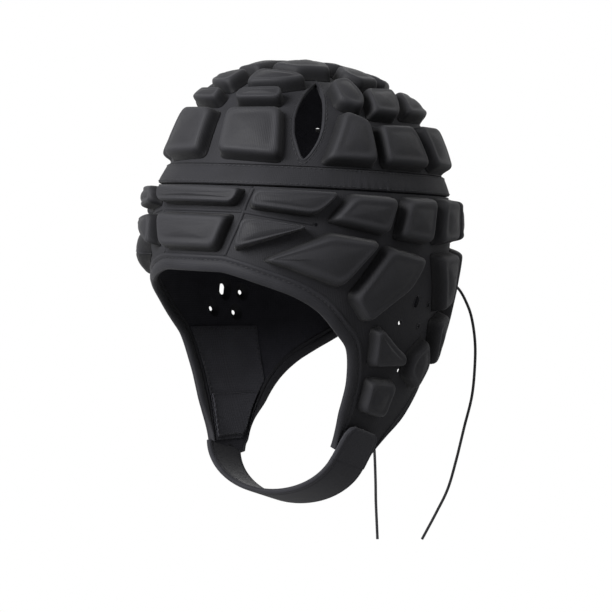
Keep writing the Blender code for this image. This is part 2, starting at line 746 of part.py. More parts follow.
def make_face_binding(end_cutters, parts, materials):
    """One tape round the face opening, from flap to flap across the brow."""
    levels = [level for level in SIDE_LEVEL_SHARES if level > BROW_BOTTOM_SHARE]
    left = [(edge_azimuth(FRONT_EDGE_SHARES, level), level) for level in levels]
    right = [(-azimuth, level) for azimuth, level in reversed(left)]
    brow = [(azimuth, BROW_BOTTOM_SHARE) for azimuth in (-15.5, -7.5, 0.0, 7.5, 15.5)]
    path = right + brow + left
    data = tape_mesh("face_binding", path, 1.0, 1.0, FACE_TAPE_WIDTH)
    binding = add_part("face_binding", data, materials["binding_tape"], parts)
    for cutter in end_cutters:
        add_boolean(binding, cutter, "DIFFERENCE")


def make_neck_binding(side_name, mirror, end_cutter, parts, materials):
    """Tape along the rear edge of a flap, round the nape and up the lacing slit."""
    levels = [level for level in SIDE_LEVEL_SHARES if level > BROW_TOP_SHARE]
    levels.insert(0, BROW_TOP_SHARE + SEAM_GAP / LEVEL_DEPTH)
    path = [(edge_azimuth(REAR_EDGE_SHARES, level), level) for level in levels]
    name = "neck_binding_" + side_name
    data = tape_mesh(name, path, mirror, -1.0, NECK_TAPE_WIDTH)
    binding = add_part(name, data, materials["binding_tape"], parts)
    add_boolean(binding, end_cutter, "DIFFERENCE")


def make_pads(parts, materials):
    fabric = materials["pad_fabric"]
    for name, corners in FRONT_PAD_SHARES.items():
        add_part(name, pad_mesh(name, corners, PAD_HEIGHT), fabric, parts)
    tables = (CROWN_PAD_SHARES, RING_PAD_SHARES, FLAP_PAD_SHARES)
    for table, height in zip(tables, (PAD_HEIGHT, PAD_HEIGHT, FLAP_PAD_HEIGHT)):
        for stem, corners in table.items():
            for side_name, mirror in (("left", 1.0), ("right", -1.0)):
                name = stem + "_" + side_name
                add_part(name, pad_mesh(name, corners, height, mirror), fabric, parts)


def tab_offsets():
    """Offsets of the tab's inner and outer face over the left flap."""
    low = TAPE_THICKNESS / 2 - SHELL_THICKNESS / 2 + LOOP_PATCH_THICKNESS + SEAM_GAP
    return low, low + STRAP_THICKNESS


def strap_row(share):
    """Points across the strap at a share of its bow; its ends take the flaps' own curve."""
    seam, width, up = strap_frame()
    low, high = tab_offsets()
    middle, half_span, depth = strap_ellipse()
    start = math.radians(STRAP_START_TURN)
    turn = start + (math.pi - 2 * start) * share
    centre_x = middle - half_span * math.cos(turn)
    drop = depth * (math.sin(start) - math.sin(turn)) - SEAM_GAP
    side, offset = (-1.0, -SHELL_THICKNESS / 2) if share < 0.5 else (1.0, (low + high) / 2)
    fade = max(1.0 - min(share, 1.0 - share) / STRAP_FADE_SHARE, 0.0) ** 2
    row = []
    for width_share in STRAP_WIDTH_SHARES:
        across = width_share * STRAP_WIDTH
        curl = flap_point(across, 0.0, offset).x - flap_point(0.0, 0.0, offset).x
        spot = seam + width * across + up * drop
        row.append(Vector((centre_x + side * curl * fade, spot.y, spot.z)))
    return row


def make_chin_strap(parts, materials):
    """Bow of the strap under the chin, sewn at the right flap and gripping the left one."""
    rows = [strap_row(step / STRAP_STEPS) for step in range(STRAP_STEPS + 1)]
    strap = add_sheet("chin_strap", rows, STRAP_THICKNESS, materials["strap_fabric"], parts, side=0.0)
    set_origin(strap, strap_hinge_place())


def strap_hinge_place():
    """Hinge line of the strap: the outer edge of the seam on the wearer's right."""
    seam, width, up = strap_frame()
    return Vector((-seam.x - STRAP_THICKNESS / 2, seam.y, seam.z)) - up * SEAM_GAP


def tab_start_rise():
    """Rise over the flap that brings the tab's end face down onto the strap's."""
    low, high = tab_offsets()
    return (low + high) / 2 * math.sin(strap_end_lean())


def tab_hinge_place():
    """Hinge line of the tab: the outer face of the strap where the tab starts on the left."""
    low, high = tab_offsets()
    return flap_point(0.0, tab_start_rise(), high)


def make_strap_tab(parts, materials):
    """Rounded end of the strap that grips the left flap, and the loop patch it grips."""
    low, high = tab_offsets()
    start = tab_start_rise()
    rows = []
    for rise_share, width_share in TAB_SHARES:
        span = width_share * STRAP_WIDTH
        rise = start + TAB_RISE * rise_share
        rows.append([flap_point(span * share, rise, high) for share in STRAP_WIDTH_SHARES])
    tab = add_sheet("strap_tab", rows, STRAP_THICKNESS, materials["strap_fabric"], parts)
    set_origin(tab, tab_hinge_place())
    top = SEAM_GAP + LOOP_PATCH_THICKNESS
    rows = []
    for rise in (LOOP_PATCH_START, (LOOP_PATCH_START + LOOP_PATCH_END) / 2, LOOP_PATCH_END):
        rows.append([flap_point(LOOP_PATCH_WIDTH * share, rise, top) for share in STRAP_WIDTH_SHARES])
    add_sheet("loop_patch", rows, LOOP_PATCH_THICKNESS, materials["hook_and_loop"], parts)


def make_tongue(parts, materials):
    """Stretch gusset that closes the slit behind the lacing, inside the panels' rear edges."""
    offset = -SHELL_THICKNESS / 2 - TAPE_THICKNESS / 2 - SEAM_GAP
    levels = [level for level in SIDE_LEVEL_SHARES if BROW_TOP_SHARE < level < TONGUE_END_SHARE]
    rows = [[shell_point(azimuth, level, offset) for azimuth in TONGUE_AZIMUTHS] for level in levels]
    add_sheet("rear_tongue", rows, TONGUE_THICKNESS, materials["stretch_mesh"], parts)


def smooth_route(points, pitch):
    """Points at an even pitch along a smooth curve through the route's own points."""
    points = [Vector(point) for point in points]
    dense = []
    for index in range(len(points) - 1):
        start, end = points[index], points[index + 1]
        before = points[index - 1] if index else start * 2 - end
        after = points[index + 2] if index + 2 < len(points) else end * 2 - start
        for step in range(12):
            dense.append(hermite((start, end), ((end - before) / 2, (after - start) / 2), 1.0, step / 12))
    dense.append(points[-1])
    length = sum((b - a).length for a, b in zip(dense, dense[1:]))
    count = max(round(length / pitch), 2)
    route = [dense[0]]
    walked = 0.0
    for start, end in zip(dense, dense[1:]):
        run = (end - start).length
        while len(route) < count and walked + run >= length * len(route) / count:
            share = (length * len(route) / count - walked) / run
            route.append(start.lerp(end, share))
        walked += run
    route.append(dense[-1])
    return route


def add_tube(name, route, material, collection):
    """Round cord along a route."""
    curve = bpy.data.curves.new(name, "CURVE")
    curve.dimensions = "3D"
    curve.bevel_depth = LACE_DIAMETER / 2
    curve.bevel_resolution = 2
    curve.use_fill_caps = True
    spline = curve.splines.new("POLY")
    spline.points.add(len(route) - 1)
    for spot, point in zip(route, spline.points):
        point.co = (*spot, 1.0)
    spline.use_smooth = True
    return add_part(name, curve, material, collection)


def lacing_route():
    """The lace up one side and down the other, crossing itself at the middle of the slit."""
    rows = EYELET_LEVEL_SHARES
    last = len(rows) - 1
    up_side = [(rows[last - step], 1.0 if step % 2 == 0 else -1.0) for step in range(len(rows))]
    down_side = [(level, -side) for level, side in reversed(up_side)]
    places = [(LACE_LEAD_SHARES[1], LACE_LEAD_SHARES[0], LACE_LIFT * 2)]
    for strand, lift in ((up_side, LACE_LIFT), (down_side, LACE_CROSSING_LIFT)):
        for index, (level, side) in enumerate(strand):
            places.append((level, 180.0 - side * (180.0 - EYELET_AZIMUTH), LACE_LIFT))
            if index < last:
                places.append(((level + strand[index + 1][0]) / 2, 180.0, lift))
    places.append((LACE_LEAD_SHARES[1], 360.0 - LACE_LEAD_SHARES[0], LACE_LIFT * 2))
    return [shell_point(azimuth, level, lift) for level, azimuth, lift in places]


def make_laces(parts, materials):
    """The lacing, and the two free ends that leave its last points."""
    cord = materials["lace_cord"]
    lacing = lacing_route()
    add_tube("lace_rows", smooth_route(lacing, LACE_POINT_PITCH), cord, parts)
    ends = (("lace_end_left", lacing[0], LACE_LEFT_ROUTE), ("lace_end_right", lacing[-1], LACE_RIGHT_ROUTE))
    for name, start, route in ends:
        points = [start + Vector(point) for point in route]
        add_tube(name, smooth_route(points, LACE_POINT_PITCH), cord, parts)


def main():
    clear_scene()
    parts = make_collection("padded_headguard")
    cutters = make_collection("cutters")
    materials = {name: make_material(name) for name in FINISHES}
    fabric = materials["shell_fabric"]
    right_end = add_end_cutter("right_end_cut", -1.0, SEAM_GAP, cutters, fabric)
    left_end = add_end_cutter("left_end_cut", 1.0, FLAP_END_RISE, cutters, fabric)
    make_crown(parts, cutters, materials)
    make_band(parts, materials)
    make_brow_panel(parts, materials)
    make_side_panel("left", 1.0, left_end, parts, cutters, materials)
    make_side_panel("right", -1.0, right_end, parts, cutters, materials)
    make_face_binding((left_end, right_end), parts, materials)
    make_neck_binding("left", 1.0, left_end, parts, materials)
    make_neck_binding("right", -1.0, right_end, parts, materials)
    make_pads(parts, materials)
    make_chin_strap(parts, materials)
    make_strap_tab(parts, materials)
    make_tongue(parts, materials)
    make_laces(parts, materials)


main()
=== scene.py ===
import math

import bmesh
import bpy
import numpy as np
from mathutils import Matrix, Vector


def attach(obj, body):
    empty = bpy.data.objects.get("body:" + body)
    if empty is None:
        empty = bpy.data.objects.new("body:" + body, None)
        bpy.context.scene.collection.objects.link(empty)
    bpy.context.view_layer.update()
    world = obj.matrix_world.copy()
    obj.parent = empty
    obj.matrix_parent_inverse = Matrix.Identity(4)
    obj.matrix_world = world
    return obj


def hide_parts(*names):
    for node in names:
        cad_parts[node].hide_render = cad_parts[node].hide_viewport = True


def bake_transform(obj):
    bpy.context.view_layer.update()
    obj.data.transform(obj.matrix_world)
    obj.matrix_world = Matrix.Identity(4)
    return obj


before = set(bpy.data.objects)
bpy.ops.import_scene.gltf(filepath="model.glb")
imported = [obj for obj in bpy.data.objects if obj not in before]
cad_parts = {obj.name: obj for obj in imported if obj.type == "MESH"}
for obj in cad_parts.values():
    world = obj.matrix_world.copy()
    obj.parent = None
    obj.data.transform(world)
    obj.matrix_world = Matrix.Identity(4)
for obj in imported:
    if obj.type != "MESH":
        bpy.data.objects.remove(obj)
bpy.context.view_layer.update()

BODY = "headguard"
rng = np.random.default_rng(7)

# ---------------------------------------------------------------- sizes of the shell, in metres
HALF_WIDTH = 0.0805
FRONT_REACH = 0.106
REAR_REACH = 0.101
LEVEL_DEPTH = 0.100
BROW_RISE = 0.007
SHELL_THICKNESS = 0.003
SEAM_GAP = 0.0003
PAD_HEIGHT = 0.0085
FLAP_PAD_HEIGHT = 0.0070
PAD_CROWN = 0.0011
PAD_CORNER = 0.0040
POLAR_LEVEL = 0.28
TAPE_THICKNESS = 0.0046
TAPE_GAP = 0.0004
FACE_TAPE_WIDTH = 0.0086
NECK_TAPE_WIDTH = 0.0070
STRAP_WIDTH = 0.033
STRAP_THICKNESS = 0.0034
STRAP_DROP = 0.0255
STRAP_START_TURN = 14.0
STRAP_TILT = 19.3
STRAP_FADE = 0.35
TAB_RISE = 0.020
TAB_TUCK = 0.0009
LOOP_PATCH_THICKNESS = 0.0012
LOOP_PATCH_WIDTH = 0.026
FLAP_END_RISE = 0.006
CUT_BOX = 0.120
TONGUE_THICKNESS = 0.0015
LACE_DIAMETER = 0.0018
# Tape inside the shell, over the seams above and below the band
SEAM_TAPE_THICKNESS = 0.0007
SEAM_TAPE_LEVELS = (0.888, 1.018)
# Radii that stand for the lower shell and the crown where a surface is laid out flat
FLAT_RADIUS, CROWN_RADIUS = 0.088, 0.095
# Levels of the shell's top point and of the flaps' lowest row
POLE_LEVEL, CHIN_LEVEL = 0.004, 2.76
# Each side of the head, with the sign of its points across it
SIDES = (("left", 1.0), ("right", -1.0))

# Level, then the share of depth, half width, front reach and rear reach
PROFILE = np.array((
    (0.00, 0.000, 0.000, 0.000, 0.000),
    (0.15, 0.018, 0.248, 0.226, 0.257),
    (0.30, 0.070, 0.453, 0.415, 0.475),
    (0.45, 0.155, 0.627, 0.566, 0.673),
    (0.60, 0.270, 0.764, 0.679, 0.822),
    (0.75, 0.410, 0.857, 0.750, 0.901),
    (0.90, 0.580, 0.925, 0.821, 0.955),
    (1.00, 0.710, 0.981, 0.906, 0.990),
    (1.15, 0.860, 0.994, 0.948, 1.000),
    (1.30, 1.010, 1.000, 0.981, 0.990),
    (1.50, 1.210, 0.981, 1.000, 0.946),
    (1.70, 1.410, 0.938, 0.972, 0.871),
    (1.90, 1.610, 0.882, 0.877, 0.792),
    (2.10, 1.810, 0.820, 0.811, 0.733),
    (2.35, 2.060, 0.720, 0.783, 0.668),
    (2.60, 2.310, 0.609, 0.792, 0.604),
    (2.80, 2.510, 0.522, 0.792, 0.564),
))
MIRROR_ROW = PROFILE[1] * (-1, 1, -1, -1, -1)
PROFILE_ROWS = np.vstack([MIRROR_ROW, PROFILE, 2 * PROFILE[-1] - PROFILE[-2]])
PROFILE_SIZES = np.array((LEVEL_DEPTH, HALF_WIDTH, FRONT_REACH, REAR_REACH))

# Level and azimuth of the side panels' edges; every other place is an azimuth and a level
FRONT_EDGE = (
    (1.00, 24.0), (1.20, 20.5), (1.41, 15.5), (1.44, 24.0), (1.47, 31.0), (1.54, 46.0),
    (1.64, 58.0), (1.78, 67.0), (1.87, 72.0), (1.96, 74.0), (2.05, 75.0), (2.17, 76.0),
    (2.31, 76.0), (2.45, 74.5), (2.60, 73.0), (2.76, 72.0),
)
REAR_EDGE = (
    (1.00, 168.0), (1.70, 168.0), (1.78, 165.0), (1.87, 156.0), (1.96, 144.0), (2.05, 132.0),
    (2.17, 119.0), (2.31, 107.0), (2.45, 97.0), (2.60, 90.0), (2.76, 86.5),
)
BROW_BOTTOM = 1.41
VENT_OUTLINE = (
    (55.5, 0.30), (49.0, 0.36), (43.0, 0.46), (39.0, 0.58), (37.5, 0.70), (39.5, 0.80),
    (43.0, 0.87), (48.5, 0.80), (52.5, 0.70), (55.0, 0.58), (57.0, 0.46), (57.5, 0.36),
)
REAR_VENT = (142.0, 0.607)
REAR_VENT_WIDTH = 0.0036
EAR_SLOT = (96.5, 1.64)
EAR_SLOT_LENGTH, EAR_SLOT_WIDTH, EAR_SLOT_SLANT = 0.0076, 0.0044, 18.0
EAR_HOLES = ((106.0, 1.66), (89.5, 1.765), (101.0, 1.79))
EAR_HOLE_WIDTH = 0.0032
FLAP_HOLES = {"left": ((93.6, 2.06),), "right": ((70.0, 2.61), (83.0, 2.66))}
FLAP_HOLE_WIDTH = 0.0024
GROOVE_HOLE, GROOVE_HOLE_WIDTH = (50.5, 1.205), 0.0022
# Height over the shell and growth of a hole's outline, which opens towards the lining
HOLE_SECTION = ((0.0040, 0.0), (-0.0006, 0.0), (-0.0042, 0.0058))

TOP_PADS = {
    "top_pad_front": ((5, 0.455), (30, 0.44), (47, 0.39), (38, 0.335), (5, 0.295)),
    "top_pad_middle": ((6, 0.245), (38, 0.29), (70, 0.275), (86, 0.145), (80, 0.035), (12, 0.035)),
    "top_pad_side": ((92, 0.165), (77, 0.305), (86, 0.385), (105, 0.375), (118, 0.205)),
    "top_pad_rear": ((100, 0.035), (104, 0.13), (124, 0.175), (150, 0.20), (175, 0.20), (168, 0.035)),
    "top_pad_back": ((125, 0.225), (112, 0.375), (143, 0.38), (176, 0.38), (176, 0.245), (150, 0.245)),
    "rear_pad_side": ((111, 0.425), (138, 0.43), (137, 0.585), (99, 0.60)),
    "rear_pad_middle": ((146, 0.43), (176, 0.43), (176.5, 0.575), (147, 0.58)),
    "rear_pad_lower": ((133, 0.65), (176.5, 0.63), (177, 0.875), (132, 0.885)),
}
CROWN_PADS = {
    "crown_pad_front_lower": ((4.0, 0.87), (33.0, 0.885), (32.0, 0.60), (3.5, 0.61)),
    "crown_pad_front_upper": ((5.0, 0.575), (31.5, 0.565), (31.0, 0.475), (5.0, 0.49)),
    "crown_pad_vent_upper": ((60.5, 0.39), (76.0, 0.345), (78.0, 0.52), (73.0, 0.60), (61.0, 0.555)),
    "crown_pad_vent_lower": ((62.5, 0.60), (74.5, 0.655), (75.0, 0.885), (51.0, 0.885)),
    "crown_pad_side_upper": ((83.0, 0.43), (106.0, 0.42), (93.5, 0.62), (78.0, 0.615)),
    "crown_pad_side_lower": ((79.0, 0.675), (98.0, 0.66), (102.0, 0.885), (79.0, 0.885)),
    "crown_pad_rear_lower": ((103.0, 0.655), (128.0, 0.65), (127.5, 0.885), (106.0, 0.885)),
}
RING_PADS = {
    "ring_pad_upper_1": ((25.5, 1.02), (58.0, 1.02), (49.0, 1.16), (23.5, 1.125)),
    "ring_pad_upper_2": ((62.5, 1.025), (82.0, 1.03), (77.5, 1.25), (54.5, 1.185)),
    "ring_pad_upper_3": ((86.0, 1.03), (101.0, 1.02), (97.0, 1.29), (82.0, 1.265)),
    "ring_pad_upper_4": ((105.0, 1.02), (122.0, 1.02), (119.0, 1.27), (101.5, 1.29)),
    "ring_pad_upper_5": ((126.0, 1.02), (158.0, 1.02), (157.0, 1.25), (123.0, 1.27)),
    "ring_pad_lower_1": ((22.0, 1.18), (47.0, 1.225), (19.5, 1.375)),
    "ring_pad_lower_2": ((31.0, 1.42), (55.0, 1.255), (75.0, 1.29), (60.5, 1.56), (41.5, 1.46)),
    "ring_pad_lower_3": ((78.0, 1.315), (95.0, 1.37), (88.5, 1.56), (72.5, 1.76), (65.0, 1.61)),
    "ring_pad_rear": ((102.0, 1.355), (122.0, 1.335), (125.0, 1.64), (111.0, 1.70)),
    "ring_pad_nape": ((127.0, 1.33), (154.0, 1.30), (150.0, 1.80), (129.5, 1.93)),
    "ring_pad_behind_ear": ((110.0, 1.755), (125.0, 1.70), (126.0, 1.97), (117.5, 2.04)),
}
FLAP_PADS = {
    "flap_pad_front": ((77.0, 1.80), (80.0, 1.785), (92.5, 1.955), (92.5, 2.02), (77.5, 2.02)),
    "flap_pad_rear": ((95.5, 1.96), (106.0, 1.85), (114.0, 2.02), (106.0, 2.18), (94.5, 2.075)),
    "flap_pad_lower": ((78.0, 2.095), (91.0, 2.115), (90.0, 2.34), (78.0, 2.29)),
}
FRONT_PADS = {
    "ring_pad_front_upper": ((-21.0, 1.02), (21.0, 1.02), (18.0, 1.115), (-18.0, 1.115)),
    "ring_pad_front_lower": ((-17.5, 1.175), (17.5, 1.175), (13.0, 1.375), (-13.0, 1.375)),
}
SEAM_AZIMUTH, SEAM_LEVEL = 80.0, 2.62
EYELET_AZIMUTH = 170.8
EYELET_LEVELS = (1.08, 1.21, 1.34, 1.47, 1.60)
LACE_LEAD = (163.5, 1.615)
LACE_LIFT, LACE_CROSSING_LIFT = 0.0024, 0.0047
LACE_LEFT_ROUTE = (
    (0.0005, 0.0, -0.0001), (0.0052, -0.0003, -0.0007), (0.0100, 0.0026, 0.0010),
    (0.0149, 0.0056, 0.0042), (0.0202, 0.0054, 0.0065), (0.0254, 0.0024, 0.0055),
    (0.0320, -0.0006, -0.0003),
    (0.0376, -0.0018, -0.0102), (0.0408, -0.0022, -0.0247), (0.0414, -0.0026, -0.0397),
    (0.0400, -0.0036, -0.0607), (0.0346, -0.0042, -0.0817), (0.0296, -0.0058, -0.1035),
    (0.0239, -0.0066, -0.1222), (0.0161, -0.0082, -0.1384), (0.0067, -0.0102, -0.1562),
)
LACE_RIGHT_ROUTE = (
    (-0.0005, 0.0, -0.0001), (-0.0046, -0.0003, -0.0012), (-0.0072, -0.0004, -0.0046),
    (-0.0069, -0.0008, -0.0125), (-0.0028, -0.0016, -0.0247), (0.0041, -0.0030, -0.0417),
    (0.0111, -0.0046, -0.0597), (0.0166, -0.0064, -0.0797), (0.0198, -0.0078, -0.1007),
    (0.0216, -0.0088, -0.1207), (0.0224, -0.0094, -0.1357), (0.0234, -0.0098, -0.1487),
    (0.0244, -0.0102, -0.1607),
)


# ---------------------------------------------------------------- the shell's surface
def hermite(start, end, slope_out, slope_in, share):
    square, cube = share * share, share ** 3
    return (
        start * (2 * cube - 3 * square + 1) + slope_out * (cube - 2 * square + share)
        + end * (3 * square - 2 * cube) + slope_in * (cube - square)
    )


def profile_at(level):
    level = np.asarray(level, float)
    index = np.searchsorted(PROFILE[1:-1, 0], level, side="left")
    before, start, end, after = (PROFILE_ROWS[index + step] for step in range(4))
    span = end[..., :1] - start[..., :1]
    share = (level[..., None] - start[..., :1]) / span
    slope_out = (end - before) / (end[..., :1] - before[..., :1]) * span
    slope_in = (after - start) / (after[..., :1] - start[..., :1]) * span
    return hermite(start, end, slope_out, slope_in, share)[..., 1:] * PROFILE_SIZES


def signed_power(value, exponent):
    return np.sign(value) * np.abs(value) ** exponent


def section_exponent(level):
    return 2.15 + 0.45 * np.clip((level - 1.5) / 1.1, 0.0, 1.2)


def base_point(azimuth, level):
    azimuth, level = np.broadcast_arrays(np.asarray(azimuth, float), np.asarray(level, float))
    depth, side, front, rear = np.moveaxis(profile_at(level), -1, 0)
    exponent = 2.0 / section_exponent(level)
    sine, cosine = np.sin(np.radians(azimuth)), np.cos(np.radians(azimuth))
    reach = np.where(cosine > 0, front, rear)
    across = side * signed_power(sine, exponent) * (1.0 - 0.03 * cosine)
    along = -reach * signed_power(cosine, exponent)
    return np.stack([across, along, -depth - along * BROW_RISE / REAR_REACH], -1)


def unit(vectors):
    return vectors / np.maximum(np.linalg.norm(vectors, axis=-1, keepdims=True), 1e-12)


def run_of(points):
    """Distance walked along a path, at each of its points."""
    return np.concatenate([[0], np.cumsum(np.linalg.norm(np.diff(points, axis=0), axis=1))])


def shell_normal(azimuth, level):
    azimuth, level = np.broadcast_arrays(np.asarray(azimuth, float), np.asarray(level, float))
    step = 0.002
    down = base_point(azimuth, level + step) - base_point(azimuth, np.maximum(level - step, step))
    turn = math.degrees(step)
    around = base_point(azimuth + turn, level) - base_point(azimuth - turn, level)
    normal = unit(np.cross(down, around))
    outward = base_point(azimuth, level) + (0.0, 0.0, LEVEL_DEPTH)
    return normal * np.where((normal * outward).sum(-1, keepdims=True) < 0, -1.0, 1.0)


def shell(azimuth, level, offset=0.0):
    offset = np.asarray(offset, float)[..., None]
    return base_point(azimuth, level) + shell_normal(azimuth, level) * offset


def monotone(table, level):
    """Smooth azimuth of a panel edge at a level: a cubic that doesn't overshoot its points."""
    table = np.asarray(table)
    x, y = table[:, 0], table[:, 1]
    rise = np.diff(y) / np.diff(x)
    slopes = np.zeros(len(x))
    slopes[0], slopes[-1] = rise[0], rise[-1]
    same = rise[:-1] * rise[1:] > 0
    slopes[1:-1][same] = 2 * rise[:-1][same] * rise[1:][same] / (rise[:-1] + rise[1:])[same]
    index = np.clip(np.searchsorted(x, level, side="right") - 1, 0, len(x) - 2)
    span = x[index + 1] - x[index]
    share = np.clip((level - x[index]) / span, 0.0, 1.0)
    return hermite(y[index], y[index + 1], slopes[index] * span, slopes[index + 1] * span, share)


def catmull(points, count, closed=False):
    """Evenly spaced points along a smooth curve through the given ones."""
    points = np.asarray(points, float)
    if closed:
        ring = np.vstack([points[-1:], points, points[:2]])
    else:
        ring = np.vstack([2 * points[0] - points[1], points, 2 * points[-1] - points[-2]])
    dense = []
    for before, start, end, after in zip(ring, ring[1:], ring[2:], ring[3:]):
        share = np.linspace(0, 1, 16, endpoint=False)[:, None]
        dense.append(hermite(start, end, (end - before) / 2, (after - start) / 2, share))
    dense = np.vstack(dense + [ring[-2:-1]])
    walked = run_of(dense)
    where = np.linspace(0, walked[-1], count + 1 if closed else count)
    even = np.stack([np.interp(where, walked, dense[:, axis]) for axis in range(points.shape[1])], -1)
    return even[:-1] if closed else even


def flip_side(points, mirror):
    return np.asarray(points) * (mirror, 1.0, 1.0)


def side_points(places, offset, mirror):
    """Points over the shell at rows of azimuth and level, on one side of the head."""
    return flip_side(shell(places[:, 0], places[:, 1], offset), mirror)


def side_normals(places, mirror):
    return flip_side(shell_normal(places[:, 0], places[:, 1]), mirror)


# ---------------------------------------------------------------- meshes
def link(name, mesh, *materials):
    piece = bpy.data.objects.new(name, mesh)
    for material in materials:
        mesh.materials.append(material)
    bpy.context.scene.collection.objects.link(piece)
    return piece


def build_mesh(name, points, faces, corner_uv=None, sharp=45.0):
    """Mesh with its faces outward, smooth but for edges sharper than an angle in degrees."""
    mesh = bpy.data.meshes.new(name)
    mesh.from_pydata(np.asarray(points).tolist(), [], faces)
    if corner_uv is not None:
        layer = mesh.uv_layers.new(name="weave")
        layer.data.foreach_set("uv", np.asarray(corner_uv, np.float32).ravel())
    shape = bmesh.new()
    shape.from_mesh(mesh)
    bmesh.ops.recalc_face_normals(shape, faces=shape.faces)
    shape.to_mesh(mesh)
    shape.free()
    mesh.shade_smooth()
    mesh.set_sharp_from_angle(angle=math.radians(sharp))
    return mesh


def grid_faces(rows, columns, closed, start=0):
    """Quads of a grid and, for each corner, its row and its column counted past the wrap."""
    faces, places = [], []
    for row in range(rows - 1):
        for column in range(columns if closed else columns - 1):
            after = (column + 1) % columns
            faces.append((
                start + row * columns + column, start + row * columns + after,
                start + (row + 1) * columns + after, start + (row + 1) * columns + column,
            ))
            places += [(row, column), (row, column + 1), (row + 1, column + 1), (row + 1, column)]
    return faces, np.array(places)


def bake_modifiers(piece):
    """Turns the piece and its modifiers into a plain mesh."""
    graph = bpy.context.evaluated_depsgraph_get()
    mesh = bpy.data.meshes.new_from_object(piece.evaluated_get(graph))
    piece.modifiers.clear()
    old = piece.data
    piece.data = mesh
    mesh.name = old.name
    bpy.data.meshes.remove(old)
    return piece


def cap_faces(rows, columns, start=0):
    """The two end faces of a grid that is closed round its columns."""
    last = start + (rows - 1) * columns
    return [tuple(range(start, start + columns)), tuple(range(last, last + columns))]


def carried_normals(path, tangents):
    """Normals that follow a path without a twist."""
    normals = np.zeros_like(path)
    side = np.cross(tangents[0], (0.0, 0.0, 1.0))
    if np.linalg.norm(side) < 0.2:
        side = np.cross(tangents[0], (0.0, 1.0, 0.0))
    normals[0] = unit(np.cross(side, tangents[0]))
    for index in range(1, len(path)):
        before = normals[index - 1]
        normals[index] = unit(before - tangents[index] * (before @ tangents[index]))
    return normals


def tube_mesh(name, path, radius, sides=10, flat=1.0, normals=None, closed=False):
    """Round or flattened tube along a path; its uv runs along it and round it, in metres."""
    if closed:
        tangents = unit(np.roll(path, -1, 0) - np.roll(path, 1, 0))
    else:
        tangents = unit(np.gradient(path, axis=0))
    if normals is None:
        normals = carried_normals(path, tangents)
    across = unit(np.cross(tangents, normals))
    normals = unit(np.cross(across, tangents))
    turns = np.linspace(0, 2 * math.pi, sides, endpoint=False)
    ring = np.stack([np.cos(turns), np.sin(turns)], -1) * radius
    points = path[:, None] + ring[:, :1] * across[:, None] + ring[:, 1:] * flat * normals[:, None]
    rows, walked, girth = len(path), run_of(path), 2 * math.pi * radius
    faces, places = grid_faces(rows, sides, True)
    uv = np.stack([walked[places[:, 0]], places[:, 1] / sides * girth], -1)
    if closed:
        last, end = (rows - 1) * sides, walked[-1] + np.linalg.norm(path[0] - path[-1])
        for column in range(sides):
            after = (column + 1) % sides
            faces.append((last + column, last + after, after, column))
            v0, v1 = column / sides * girth, (column + 1) / sides * girth
            uv = np.vstack([uv, [(walked[-1], v0), (walked[-1], v1), (end, v1), (end, v0)]])
    else:
        faces += cap_faces(rows, sides)
        uv = np.vstack([uv, ring, ring])
    return build_mesh(name, points.reshape(-1, 3), faces, uv)


def section_mesh(name, path, beyond, normals, section, widths):
    """Closed section carried along a path, narrowed by the share of its width at each point."""
    across = section[None, :, :1] * widths[:, None, None]
    rings = path[:, None] + across * beyond[:, None] + section[None, :, 1:] * normals[:, None]
    rows, columns = rings.shape[:2]
    faces, places = grid_faces(rows, columns, True)
    walked, girth = run_of(path), run_of(np.vstack([section, section[:1]]))
    uv = np.stack([walked[places[:, 0]], girth[places[:, 1]]], -1)
    faces += cap_faces(rows, columns)
    return build_mesh(name, rings.reshape(-1, 3), faces, np.vstack([uv, section, section]))


def slab(name, middle, normals, half, uv_grid, material):
    """Closed slab about a grid of points, with half its thickness at each point."""
    rows, columns = middle.shape[:2]
    half = np.broadcast_to(half, (rows, columns))[..., None]
    top, bottom = middle + normals * half, middle - normals * half
    points = np.vstack([top.reshape(-1, 3), bottom.reshape(-1, 3)])
    count = rows * columns
    upper, places = grid_faces(rows, columns, False)
    lower, _ = grid_faces(rows, columns, False, count)
    faces = upper + [face[::-1] for face in lower]
    corner = uv_grid[places[:, 0], places[:, 1]].reshape(-1, 4, 2)
    uvs = [corner.reshape(-1, 2), corner[:, ::-1].reshape(-1, 2)]
    border = (
        [(0, column) for column in range(columns)]
        + [(row, columns - 1) for row in range(1, rows)]
        + [(rows - 1, column) for column in range(columns - 2, -1, -1)]
        + [(row, 0) for row in range(rows - 2, 0, -1)]
    )
    for first, second in zip(border, border[1:] + border[:1]):
        a, b = first[0] * columns + first[1], second[0] * columns + second[1]
        faces.append((a, b, b + count, a + count))
        uvs.append(np.array([uv_grid[first], uv_grid[second], uv_grid[second], uv_grid[first]]))
    return link(name, build_mesh(name, points, faces, np.vstack(uvs), sharp=60.0), MATERIALS[material])


# ---------------------------------------------------------------- node trees
class Signal:
    """Output of a node; arithmetic on it adds Math nodes."""

    def __init__(self, graph, socket):
        self.graph, self.socket = graph, socket

    def output(self, key):
        """Another output of the same node."""
        return Signal(self.graph, self.socket.node.outputs[key])

    def math(self, operation, *others):
        values = dict(enumerate((self, *others)))
        return self.graph.node("ShaderNodeMath", {"operation": operation}, values)

    def __add__(self, other):
        return self.math("ADD", other)

    __radd__ = __add__

    def __mul__(self, other):
        return self.math("MULTIPLY", other)

    __rmul__ = __mul__

    def __sub__(self, other):
        return self.math("SUBTRACT", other)

    def __rsub__(self, other):
        return self * -1.0 + other

    def sine(self):
        return self.math("SINE")

    def clamped(self, low, high):
        limits = {"Value": self, "From Min": low, "From Max": high}
        return self.graph.node("ShaderNodeMapRange", {"interpolation_type": "SMOOTHSTEP"}, limits)


